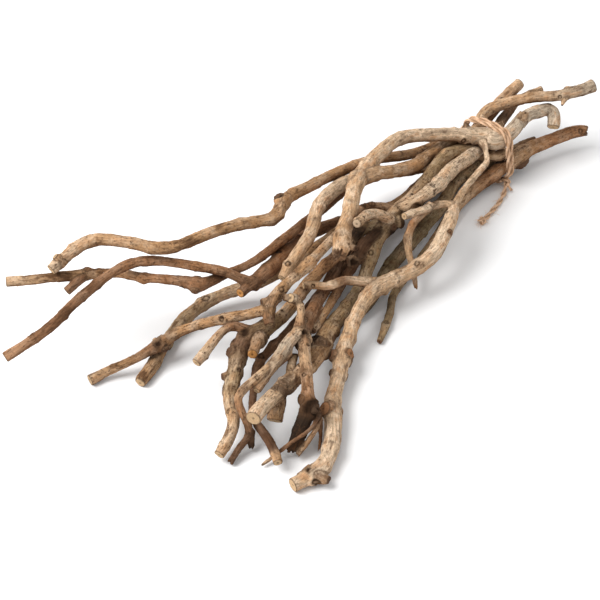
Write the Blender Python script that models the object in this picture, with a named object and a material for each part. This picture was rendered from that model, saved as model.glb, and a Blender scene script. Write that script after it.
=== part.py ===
"""A bundle of dry twigs and branching limbs, tied with jute twine and lying down.

The bundle lies along X, with its tied end at +X and its open fan at -X. Up is +Z. The
origin is on the resting surface, under the middle of the bundle's box.

Each twig is a hand-laid route. A route point is (across, down, height, thickness): where
the point is seen from one fixed station in front of the bundle, in steps of a sighting
grid, and its height above the surface and the thickness of the wood there, in mm. A
point that starts with TIE is a seat in the twine instead: (TIE, across, height,
thickness), in mm, with a fifth number where the point is beyond the twine.
"""
import math

import bmesh
import bpy
import numpy as np
from mathutils import Vector
from mathutils.bvhtree import BVHTree

OVERALL_LENGTH = 0.598
TWINE_DIAMETER = 0.0046
TWINE_TURNS = 2
TWINE_STATIONS = 32
TWINE_SLACK = 0.0010
TWINE_GAP = 0.0005
KNOT_SIZE = 0.0098
KNOT_ANGLE = math.radians(-142.0)
TAIL_LENGTH = 0.062

MM = 0.001
TOUCH = 0.0003
CLEARANCE = 0.0010
SIDES = 7
FACET_TOLERANCE = 0.0006
LONGEST_FACET = 0.045

# The station that the routes are sighted from
STATION_RISE = math.radians(42.0)
STATION_TURN = math.radians(46.0)
STATION_DISTANCE = 1.27
GRID_CENTRE = 300.0
GRID_DEPTH = 1411.0
TIE_SIGHTED = (483.6, 173.3)
TIE = "tie"

# Settling of the twigs on each other
STEP = 0.006
SETTLE_ROUNDS = 260
FINAL_ROUNDS = 60
RECALL = 0.997

WOOD_TAN = (0.43, 0.29, 0.18)
WOOD_BROWN = (0.27, 0.16, 0.10)
WOOD_OLIVE = (0.25, 0.18, 0.11)
WOOD_PALE = (0.52, 0.38, 0.25)
JUTE = (0.55, 0.33, 0.16)

# name: (what it grows from, colour, route)
TWIGS = {
    "long_bent_twig": (None, WOOD_TAN, [
        (594, 86, 74, 13), (576, 92, 71, 12), (558, 96, 68, 11), (540, 98, 64, 11),
        (520, 101.5, 60, 11), (508, 104.5, 56, 11.5), (497, 108, 53, 12), (487, 113.5, 50, 12),
        (482, 121, 47, 11), (TIE, 10.5, 44, 10.5),
        (470, 137, 42, 10), (458, 141, 37, 10), (446, 146, 36, 10),
        (430, 151.5, 41, 10), (410, 156, 48, 10), (390, 158, 54, 10), (372, 161, 58, 10),
        (355, 166, 60, 10.5),
        (342, 171, 62, 11), (325, 178, 66, 10.5), (308, 187, 70, 11), (294, 194, 74, 11),
        (286, 200, 76, 12), (281, 207, 78, 12), (276, 216, 80, 11.5), (266, 219.5, 82, 10.5),
        (250, 223, 84, 10.5), (230, 227.5, 86, 10.5), (210, 233.5, 88, 10.5),
        (195, 239, 88, 10.5), (180, 245, 88, 9.5), (165, 248.5, 88, 11.5), (150, 247, 90, 11),
        (135, 243.5, 92, 10.5), (118, 240.5, 94, 10.5), (104, 239, 94, 10.5),
        (92, 240, 92, 11), (82, 244, 90, 11), (73, 250.5, 87, 10.5), (63, 259, 84, 9.5),
        (51, 270, 80, 9.5)]),
    "arched_branch": (None, WOOD_PALE, [
        (553, 127, 44, 12.5), (554, 119, 49, 13), (553.5, 111.5, 53, 13.5), (546, 108.5, 55, 12.5),
        (536, 111, 56, 13), (528, 114.5, 56, 13), (519, 122, 54, 13.5), (510, 132, 50, 14.5),
        (TIE, -10, 45.3, 20), (484, 137.5, 46.5, 18.5), (473, 136.5, 51, 16),
        (462, 136, 55.5, 14), (450, 134.5, 60, 13),
        (430, 134, 66, 12.8), (412, 135, 71, 13), (400, 138, 74, 13.5), (391, 142.5, 75, 14),
        (383, 150, 76, 14), (374, 159, 77, 14.5), (365, 170, 77, 15.5), (358, 180, 77, 16),
        (354, 190, 77, 15), (352, 200, 77, 14.5), (350.5, 210, 77, 14), (348.5, 220, 77, 14),
        (345, 230, 77, 14.5), (343, 240, 76, 15.5), (341, 250, 75, 14.5),
        (340, 255.5, 75, 12.5)]),
    "arched_branch_fork": ("arched_branch", WOOD_TAN, [
        (520, 84, 52, 12), (510, 94, 49, 12.5), (501, 104, 45, 12), (493, 113, 42, 11.5),
        (TIE, 21.5, 36.5, 11.5), (462, 141.5, 41, 11), (450, 144, 44, 11.5), (441, 149, 46, 12),
        (432, 157, 48, 12.5), (421, 164, 52, 13), (410, 168, 57, 13), (400, 170.5, 62, 13),
        (390, 172.5, 68, 12.5), (380, 172.5, 72, 12.5), (370, 175, 76, 13),
        (362, 177, 77, 13)]),
    "knotted_branch": (None, WOOD_OLIVE, [
        (541, 88.5, 53, 7.5), (528, 94, 50, 8), (516, 100, 46, 9), (508, 110, 41, 10),
        (499, 121, 37, 11), (TIE, 0, 32.3, 11.5), (466, 147, 40, 12.5), (455, 149.5, 46, 13),
        (446, 153, 49, 13), (438, 159, 50, 13), (432, 167.5, 49, 13), (427, 177, 47, 13),
        (420, 187, 45, 13), (411, 197, 45, 13), (402, 206.5, 46, 13.5), (394, 215, 47, 14),
        (387, 224, 46, 14), (380, 234, 43, 14), (374, 246, 38, 13.5), (370, 258, 32, 13),
        (366, 270, 24, 12.5), (361, 284, 17, 12), (352, 298, 16, 12), (343, 310, 17, 12),
        (333, 324, 19, 14), (325, 336, 21, 17), (320, 347, 23, 18), (312, 361, 26, 15.5),
        (301, 373, 30, 13.5), (288, 384, 35, 12.5), (276, 394, 39, 12.5), (265, 404, 43, 12.5),
        (257, 412.5, 45, 12.5), (253, 418.5, 46, 13)]),
    "knotted_branch_stem": ("knotted_branch", WOOD_PALE, [
        (481, 151.5, 38, 5), (476, 151.5, 41, 11), (471, 154.5, 44, 13), (465, 159, 47, 13.5),
        (455, 167, 51, 13.8), (445, 176, 54, 13.8),
        (436, 185, 57, 13.5), (427, 193, 58, 12.5), (418, 199.5, 58, 11), (409, 205, 55, 10.5),
        (401, 210, 49, 10)]),
    "hooked_limb": ("knotted_branch", WOOD_TAN, [
        (391, 219, 50, 9), (384, 217, 56, 9.5), (378, 214.5, 61, 9.5), (371, 214, 66, 9),
        (364, 215.5, 72, 9), (358, 219.5, 78, 8.5), (353, 224, 83, 8)]),
    "slender_limb": ("knotted_branch", WOOD_TAN, [
        (398, 211, 44, 7), (391, 207.5, 42, 7), (384, 205.5, 41, 6.5), (376, 205, 41, 6),
        (368, 205.5, 42, 6), (361, 209, 44, 6.5), (355, 214, 47, 7), (349, 221, 50, 7.5),
        (343, 228, 53, 8), (336, 236, 55, 8.3), (329, 243, 56, 8.5), (321, 251, 58, 8.5),
        (313, 260, 59, 9), (306, 267, 60, 11.5), (298, 273.5, 60, 9.5), (290, 281, 60, 9),
        (283, 288, 59, 10), (277, 294, 58, 10), (272, 302, 56, 10), (269, 310, 54, 9),
        (268, 318, 51, 9), (270, 325, 48, 7)]),
    "low_left_limb": ("slender_limb", WOOD_TAN, [
        (267, 309, 54, 8), (258, 311.5, 51, 9), (248, 314.5, 48, 9.2), (236, 316.5, 44, 9.5),
        (224, 319, 40, 10), (212, 321.5, 36, 9), (200, 324.5, 32, 8.8), (190, 327.5, 29, 8.8),
        (180, 331, 26, 9.5), (170, 337, 23, 10.5), (160, 344.5, 20, 10.3), (150, 351, 18, 9),
        (140, 357, 16, 8), (128, 363, 13, 7.8), (115, 368.5, 9, 7.8), (102, 375, 5.5, 8.2),
        (90, 381.5, 4, 10)]),
    "burl_limb": ("knotted_branch", WOOD_OLIVE, [
        (386, 225, 45, 9.5), (378, 225, 45, 10), (370, 226.5, 45, 10.5), (362, 230.5, 44, 10.8),
        (355, 237, 43, 10.8), (348, 244, 42, 10.8), (341, 252, 41, 10.8), (335, 258, 41, 11),
        (329, 264, 40, 11), (320, 271, 38, 11), (311, 279.5, 36, 11), (304, 288, 35, 11),
        (298, 297, 34, 11), (291, 306, 34, 11.3), (284, 313.5, 34, 11.5), (277, 320, 34, 12),
        (270, 326, 35, 14), (262, 331, 36, 17), (253, 336, 36, 16.5), (246, 342, 35, 16),
        (240, 350, 34, 15.5), (238, 360, 32, 14), (236, 370, 30, 12.5), (234, 380, 28, 11.6),
        (231, 390, 26, 11.6), (230, 400, 24, 11.5), (232, 410, 21, 11), (234, 420, 19, 10),
        (232, 430, 16, 9.8), (228, 440, 13, 9.6), (223, 449, 11, 9.4), (219, 455, 9.5, 9.4)]),
    "burl_side_twig": ("burl_limb", WOOD_OLIVE, [
        (251, 333, 37, 8), (245, 329.5, 41, 8), (238, 326.5, 43, 7.6), (231, 326, 44, 7.6),
        (224, 330, 44, 7.6), (217, 337, 43, 8), (210, 346, 41, 8.3), (203, 355, 38, 8.5),
        (196, 363, 36, 8.5)]),
    "forked_limb": ("burl_limb", WOOD_TAN, [
        (349, 243, 42, 9.5), (344, 252, 37, 10), (338, 262, 32, 10.5), (333, 273, 28, 10.5),
        (328, 283, 26, 10.5), (322, 293, 28, 10.5), (316, 303, 31, 10.8), (311, 313, 35, 11),
        (306, 323, 38, 11.5), (303, 333, 40, 11.5), (303, 344, 41, 10), (304, 356, 42, 9.8),
        (306, 370, 41, 10), (307, 382, 38, 9.8), (308, 393, 34, 9.8), (309, 403, 31, 11.5),
        (307, 413, 27, 12.5), (303, 424, 22, 12.5), (298, 436, 16, 11.5), (293.5, 446, 10.5, 10),
        (290, 453, 6.5, 7)]),
    "forked_limb_left": ("forked_limb", WOOD_PALE, [
        (305, 323, 39, 9), (299, 332, 43, 10.5), (292, 341, 45, 11), (285, 351, 45, 11),
        (278, 360, 44, 10), (271, 369, 43, 8.8), (264, 378, 41, 7.8), (256, 391, 38, 6.5)]),
    "looped_spur": ("forked_limb_left", WOOD_TAN, [
        (297, 333, 44, 6.5), (300, 322, 47, 7), (301.5, 312, 50, 6.8), (300, 304, 53, 6.5),
        (296, 299.5, 56, 7), (291, 298.5, 60, 8)]),
    "crooked_spur": ("forked_limb_left", WOOD_TAN, [
        (272, 366, 43, 6), (265, 371.5, 44, 6.5), (258, 378, 44, 6.8), (251, 384, 43, 6.8),
        (245, 389, 42, 7.3), (240, 394.5, 40, 7.3), (238, 400.5, 37, 7), (241, 408, 33, 6.6),
        (244, 416, 28, 6.4), (248, 425, 22, 5.8), (250.5, 433, 16, 6.5), (251, 440, 10, 6.5),
        (252, 447.5, 5, 5)]),
    "crooked_spur_tip": ("crooked_spur", WOOD_BROWN, [
        (250, 437, 13, 5.5), (245, 442, 11, 5.5), (240, 448, 9, 5.5), (235, 455.5, 7, 5.3),
        (230.5, 463, 4, 5.2)]),
    "narrow_limb": ("knotted_branch", WOOD_OLIVE, [
        (381, 232, 44, 9), (372, 239, 43, 10), (364, 249, 39, 10), (357.5, 260, 33, 10),
        (351, 271, 26, 9), (345, 281, 20, 8), (338, 292, 21, 7.5), (331, 303, 24, 7.3),
        (324, 314, 28, 7), (317, 323.5, 31, 6.8), (312.5, 331, 33, 6)]),
    "round_stub": ("knotted_branch", WOOD_TAN, [
        (283, 388, 37, 9), (279, 398, 33, 11), (277, 408, 28, 12), (274.5, 421, 22, 12.5)]),
    "upright_stub": ("knotted_branch", WOOD_BROWN, [
        (290, 382, 34, 6.5), (291, 372, 35, 7), (293, 362, 37, 7), (295, 354, 39, 6.5)]),
    "front_branch": ("arched_branch", WOOD_PALE, [
        (484.5, 142, 49, 8), (484.5, 147, 47.5, 5.2), (485.5, 152, 46, 4.8), (487.5, 158, 45, 5.4),
        (486, 163.5, 44, 5.8), (481, 169, 43.5, 6), (476, 175, 43.5, 6), (470.5, 181.5, 44, 6),
        (465, 188, 45, 6.2), (461, 194, 46, 6.5), (457, 202, 47, 7.5), (454, 211, 46, 10),
        (450, 221, 44, 13), (445, 232, 41, 13.8),
        (440, 243, 38, 14), (434, 252, 36, 14), (426, 260, 34, 14), (416, 267.5, 32, 14),
        (405, 273.5, 30.5, 14), (394, 279.5, 29.5, 15), (384, 284, 29, 15.5),
        (375, 289, 28, 15), (368, 297, 27, 13.5), (362, 306, 26, 12.5), (357, 316, 25, 12),
        (352, 327, 23, 12.5), (347, 338, 21, 13), (343, 349, 19, 14.5), (342, 360, 17, 15),
        (340, 371, 15, 13.5), (337, 382, 14, 13), (333, 394, 13, 13.5), (331, 406, 12, 15),
        (332, 418, 11.5, 14), (332.5, 430, 11, 14), (332, 441, 10.5, 14), (330, 451, 10, 13.5),
        (326, 461, 9, 13.5), (319, 470, 8, 13.5), (308, 478, 6, 12.5),
        (292.5, 486.5, 5, 12)]),
    "front_branch_fork": ("front_branch", WOOD_TAN, [
        (380, 284, 30, 8.5), (370, 282, 32, 8.5), (360, 281.5, 34, 8.7), (350, 281, 36, 8.8),
        (342, 281, 38, 8.5), (336, 284, 40, 8), (329, 287, 41, 7.3), (320, 286.5, 42, 7),
        (311, 285, 42, 7), (303, 286.5, 42, 6.5)]),
    "pale_spur": ("front_branch", WOOD_PALE, [
        (455, 205, 47, 6.5), (446, 203.5, 49, 6.8), (437, 205, 51, 6.8), (430, 206.5, 53, 6.5),
        (423, 210, 56, 7), (415, 212.5, 60, 7), (404, 216.5, 64, 6.8)]),
    "hanging_spur": ("pale_spur", WOOD_TAN, [
        (427, 209.5, 53, 6.5), (420, 216, 50, 7), (413, 223, 46, 7.3), (409, 232, 42, 7.2),
        (408, 242, 37, 7), (408.5, 252, 32, 6.6), (411, 262, 26, 6), (413.5, 272, 20, 5.5),
        (415, 281, 15, 5), (416, 289.5, 10, 3)]),
    "low_right_branch": (None, WOOD_TAN, [
        (586, 131, 22, 10), (578, 131, 22, 13), (569, 133.5, 22, 14), (560, 136.5, 21.5, 14),
        (550, 140, 21, 14), (540, 143.5, 20.5, 14.5), (530, 148, 19.5, 15),
        (521, 154, 18.5, 15.5), (512, 161, 16.5, 15.5), (TIE, -17.5, 13, 14.5),
        (490, 179, 9.5, 14.2), (480, 184.8, 8.5, 14.2),
        (470, 191.5, 8, 13.8), (460, 201, 7.5, 12.5), (452, 213, 7, 11), (445, 225, 7, 10),
        (437, 237, 7, 9), (428, 249.5, 7, 8.5), (419, 261, 7, 8), (410, 272, 6.5, 8),
        (400, 285, 6, 7.5), (393, 297, 5.5, 7.3), (391, 308, 5, 7.2), (388, 318, 5, 7),
        (385, 328, 4.5, 6.8), (379.5, 342, 4, 5)]),
    "floor_branch": (None, WOOD_OLIVE, [
        (535, 138.5, 14, 5), (527, 142.5, 14, 7.5), (517, 148.5, 13.5, 9.5),
        (507, 155, 13, 11), (TIE, -4.7, 12.3, 12),
        (477, 161, 14.5, 12.5), (466, 169, 15.5, 13), (456.5, 178, 16, 13),
        (449.5, 188, 16.5, 12.5), (444.5, 199, 17, 12.5), (436, 211, 17.5, 13),
        (429, 219, 17.5, 14),
        (421, 229, 17.5, 14), (411, 240, 17, 14), (402, 250, 16, 14), (394, 260, 15, 13.5),
        (386, 271, 13, 12.5), (379, 284, 11, 11.5), (373, 297, 9, 10.5), (364, 309, 8, 9.5),
        (352, 318, 7.5, 8.5)]),
    "left_middle_twig": (None, WOOD_PALE, [
        (TIE, 26, 25, 9, 22), (TIE, 26, 25, 10), (453, 149, 31, 11), (440, 153, 34, 11.5),
        (425, 160, 38, 12), (408, 166, 42, 12), (390, 170, 47, 12), (372, 173, 52, 12.5),
        (356, 177, 57, 13), (345, 182, 60, 13.5), (335, 188, 62, 13.5), (327, 195, 63, 13.5),
        (320, 204, 63, 13), (316, 213.5, 62, 12.3), (314, 223, 61, 12), (311, 232, 59, 11.8),
        (306, 241.5, 57, 11.8), (299, 251.5, 54, 11.8), (293, 260.5, 51, 11.5),
        (288, 269, 48, 10.5), (282, 279, 44, 9)]),
    "far_left_twig": (None, WOOD_BROWN, [
        (TIE, 13, 28, 8, 26), (TIE, 13, 28, 9), (462, 154, 27, 9.5), (450, 156, 27, 9.5),
        (435, 160, 28, 9.5), (420, 166, 29, 9.5), (404, 170, 31, 9.5), (388, 172, 33, 9.5),
        (372, 174, 36, 9.5), (358, 179, 39, 9.5), (347, 187, 41, 9.5), (337, 196, 43, 9.5),
        (327, 205, 44, 9.5), (318, 212.5, 45, 9.5), (309, 220, 46, 9.3), (300, 227, 47, 9.3),
        (291, 235, 48, 9.2), (280, 244, 49, 9), (268, 253.5, 50, 8.5), (255, 262, 51, 8.2),
        (241, 268.5, 52, 7.5), (228, 273, 53, 7.8), (215, 279, 55, 9), (205, 283, 56, 11),
        (197, 284.5, 57, 12), (187, 281.5, 58, 9.5), (172, 279.8, 60, 8.7),
        (156, 278.5, 62, 8.3), (142, 277.5, 63, 8.5), (130, 275, 64, 7.6), (117, 273, 65, 7.5),
        (102, 273, 66, 8.2), (85, 274.5, 67, 8.8), (70, 275.8, 68, 8.8), (52, 277.5, 70, 8.3),
        (30, 280, 71, 8.6), (6, 281.8, 72, 8.6)]),
    "brown_branch": (None, WOOD_BROWN, [
        (TIE, 21.5, 13.8, 9, 26), (TIE, 21.5, 13.8, 10), (455, 162, 15, 11), (440, 170, 15.5, 11.5),
        (426, 180, 15, 11.5), (412, 193, 14, 11.5), (398, 204, 13.5, 11.5),
        (382, 210, 13.5, 11.5), (366, 214.5, 14, 11.5), (352, 218.5, 15, 11.5),
        (339, 222.5, 17, 11.5), (328, 226.5, 20, 11.8), (317, 231, 24, 12),
        (307, 236.5, 29, 12.5), (298, 243.5, 33, 13), (290, 251.5, 36, 13.5),
        (281, 260.5, 39, 14), (272, 269, 41, 14), (263, 276, 43, 13.5), (255, 282.5, 44, 11.5),
        (248, 288, 45, 9), (240.5, 294, 46, 8.5)]),
    "brown_branch_tip": ("brown_branch", WOOD_BROWN, [
        (252, 284, 45, 8.5), (241, 279.5, 51, 8.8), (229, 274.5, 58, 8.6),
        (215, 270.5, 64, 8.6), (200, 267.5, 68, 8.6), (185, 264.5, 71, 8.5), (170, 262, 73, 8.5),
        (156, 260.5, 75, 8.5), (143, 261, 77, 8.5), (130, 264, 78, 8.4), (119, 269, 78, 8.3),
        (109, 275, 76, 8.4), (99, 282.5, 73, 8.8), (88, 291.5, 70, 8.8), (77, 301, 67, 8.8),
        (67, 310.5, 64, 8.7), (59, 319, 62, 8.7), (50, 327, 59, 8.7), (39, 335.5, 56, 8.7),
        (27, 343.5, 53, 8.7), (16, 350.5, 51, 8.9), (5, 357.5, 48, 9)]),
    "tan_floor_twig": (None, WOOD_TAN, [
        (TIE, 8.8, 15, 9, 24), (TIE, 8.8, 15, 9.5), (462, 165, 16, 10.5),
        (450, 170, 17, 10.5), (435, 178, 19, 10.5), (420, 190, 21, 10.5), (407, 202, 23, 10.5),
        (394, 209, 25, 10.5), (380, 213, 27, 10.5), (366, 217, 30, 10.5), (352, 222.5, 33, 10.5),
        (339, 231, 35, 10.5), (327, 239.5, 36, 10.5), (315, 247, 36, 10.5), (304, 254, 35, 10.5),
        (292, 262, 32, 10.5), (278, 270.5, 28, 10.5), (262, 279, 24, 10.8), (248, 284.5, 21, 11),
        (235, 289, 18, 11.2), (223, 293.5, 16, 11.2), (211, 299, 14, 11.3), (199, 306, 12, 11.6),
        (189, 314, 11, 12), (181, 322, 10, 12), (173, 332, 9, 10.5), (166, 342, 8.5, 10.5),
        (160, 352, 8, 11.5), (156, 361, 7, 12), (149, 371, 6, 11.5), (140.5, 383, 4.5, 9.5)]),
    "dark_twig": (None, WOOD_BROWN, [
        (TIE, -14.5, 28.5, 10, 10), (TIE, -14.5, 28.5, 11),
        (474, 156, 26, 10.5), (465, 160.5, 24, 9),
        (455, 165, 24, 9), (445, 174, 24, 9), (435, 183, 23, 9), (425, 192, 22, 9),
        (415, 200, 21, 9), (405, 207, 20, 9), (395, 215, 20, 9), (383, 226, 19, 9),
        (371, 238, 18.5, 9), (359, 250, 18, 9),
        (347, 262, 17, 8.8), (336, 274, 16, 8.6), (325, 287, 15.5, 8.4), (314, 301, 16, 8.2),
        (304, 313, 17, 8), (295, 323, 18.5, 7.8), (287, 332, 20, 7.6), (279, 341, 21.5, 7.5),
        (272, 348, 22, 7.5), (265, 355.5, 22, 7.6), (258.5, 363, 21.5, 7.6), (255.5, 372, 21, 7),
        (254, 382, 20.5, 6.8), (253, 392, 20, 6.6), (252, 402, 19, 6.5), (252.5, 413, 18, 6.8),
        (256, 423, 17, 7.4), (262, 431, 16, 8), (268, 439, 15, 8.2), (272.5, 448, 14, 8),
        (276, 456, 13, 7.8), (278, 463, 12.5, 7.4)]),
    "rootlet": ("forked_limb", WOOD_PALE, [
        (311, 403, 31, 4.5), (316, 408, 27, 4.2), (319, 416, 23, 3.8), (321, 425, 18, 3.4),
        (322, 434, 13, 3.2), (321.5, 443, 8, 3), (320, 451, 4, 2)]),
    "rootlet_short": ("rootlet", WOOD_PALE, [
        (320, 421, 20, 3.8), (316, 430, 17, 4), (310, 439, 14, 4), (304, 447, 11, 4),
        (297, 455, 7, 3.6)]),
    "rootlet_long": ("rootlet", WOOD_PALE, [
        (319, 416, 23, 3.4), (314, 426, 25, 3.3), (307, 433, 25, 3.3), (299, 438, 22, 3.3),
        (291, 443.5, 16, 3.4), (284, 449, 10, 3.4), (277, 455, 6, 3.3), (270, 460, 4, 3.2),
        (264, 464.5, 3, 2.6)]),
}

# How readily a twig gives way to others: the outer ones hold their course
GIVE = {"arched_branch": 0.08, "long_bent_twig": 0.2, "arched_branch_fork": 0.3,
        "knotted_branch": 0.3, "knotted_branch_stem": 0.2, "front_branch": 0.15,
        "low_right_branch": 0.3, "hooked_limb": 0.3}

# Limbs whose route ends, instead of starts, at what they grow from
JOINED_AT_LAST = {"arched_branch_fork", "knotted_branch_stem"}

# Broken-off side shoots, fused to their twig: (twig, route)
STUBS = [
    ("arched_branch", [(470, 134, 54, 8), (463.5, 124.5, 61, 6)]),
    ("arched_branch", [(522, 120, 54, 10.5), (523, 114.8, 62.5, 10.5)]),
    ("long_bent_twig", [(568, 95.5, 69, 8), (562, 106.5, 63, 2.2)]),
    ("long_bent_twig", [(60, 262, 84, 9), (55, 256, 89, 5)]),
    ("slender_limb", [(272, 299, 57, 6.5), (261, 302, 58, 5)]),
    ("far_left_twig", [(84, 276, 67, 8.5), (74, 285, 64, 8), (66.5, 291.5, 60, 7.5)]),
    ("burl_limb", [(260, 336, 37, 10), (256, 346, 41, 9), (252.5, 354, 43, 8.5)]),
    ("burl_limb", [(234, 376, 28, 8), (222, 377, 30, 6)]),
    ("burl_limb", [(232, 389, 26, 8), (223, 390, 27, 5)]),
    ("burl_limb", [(347, 245, 42, 7), (356, 249, 47, 5)]),
    ("front_branch", [(316, 474, 9, 11), (329, 481, 8, 6)]),
    ("low_right_branch", [(512, 164, 14, 11), (519, 166, 10, 9), (526.5, 161.5, 9, 4.5)]),
    ("forked_limb", [(309, 405, 31, 9), (317, 411, 32, 6)]),
    ("looped_spur", [(294, 299, 58, 6), (284, 298, 58, 5)]),
    ("narrow_limb", [(356, 261, 33, 9), (349, 262, 35, 6)]),
    ("tan_floor_twig", [(163, 344, 9, 9), (154, 341, 16, 6)]),
]

# The free end's course from the knot: (ahead, aside, height left), in tail lengths
TAIL_LAY = [
    (-0.09, -0.055, 0.76), (-0.19, -0.11, 0.45), (-0.31, -0.155, 0.18), (-0.44, -0.19, 0.04),
    (-0.60, -0.22, 0.0), (-0.76, -0.25, 0.0), (-0.91, -0.27, 0.0)]


def sighting():
    """Return the station's eye and its forward, right and up directions."""
    sin_turn, cos_turn = math.sin(STATION_TURN), math.cos(STATION_TURN)
    level = np.array([sin_turn, cos_turn, 0.0])
    right = np.array([cos_turn, -sin_turn, 0.0])
    forward = level * math.cos(STATION_RISE) - np.array([0.0, 0.0, math.sin(STATION_RISE)])
    up = np.cross(right, forward)
    return -forward * STATION_DISTANCE, forward, right, up


EYE, FORWARD, RIGHT, UP = sighting()


def sighted(across, down, height):
    """Return the place seen at a grid point, at a height in metres."""
    ray = (FORWARD + RIGHT * (across - GRID_CENTRE) / GRID_DEPTH
           - UP * (down - GRID_CENTRE) / GRID_DEPTH)
    return EYE + ray * ((height - EYE[2]) / ray[2])


TIE_FOOT = sighted(*TIE_SIGHTED, 0.0)


def route_point(entry):
    """Return a route point's place and its wood's radius, in metres."""
    if entry[0] == TIE:
        beyond = entry[4] if len(entry) > 4 else 0.0
        place = TIE_FOOT + np.array([beyond, entry[1], entry[2]]) * MM
        return place, entry[3] * MM / 2
    across, down, height, thickness = entry
    return sighted(across, down, height * MM), thickness * MM / 2


def smooth_route(entries, step=STEP):
    """Return evenly spaced places and radii on a smooth curve through the route."""
    placed = [route_point(entry) for entry in entries]
    knots = np.array([place for place, _ in placed])
    radii = np.array([radius for _, radius in placed])
    first = 2 * knots[0] - knots[1]
    last = 2 * knots[-1] - knots[-2]
    knots = np.vstack([first, knots, last])
    dense, dense_radii = [], []
    for index in range(1, len(knots) - 2):
        before, start, end, after = knots[index - 1:index + 3]
        for t in np.arange(0.0, 1.0, 0.1):
            bend = (2 * start + (end - before) * t
                    + (2 * before - 5 * start + 4 * end - after) * t ** 2
                    + (3 * start - before - 3 * end + after) * t ** 3)
            dense.append(bend / 2)
            dense_radii.append(radii[index - 1] * (1 - t) + radii[index] * t)
    dense.append(knots[-2])
    dense_radii.append(radii[-1])
    dense = np.array(dense)
    length = np.concatenate([[0.0], np.cumsum(np.linalg.norm(np.diff(dense, axis=0), axis=1))])
    count = max(3, int(round(length[-1] / step)) + 1)
    marks = np.linspace(0.0, length[-1], count)
    places = np.stack([np.interp(marks, length, dense[:, axis]) for axis in range(3)], axis=1)
    return places, np.interp(marks, length, dense_radii)


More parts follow.
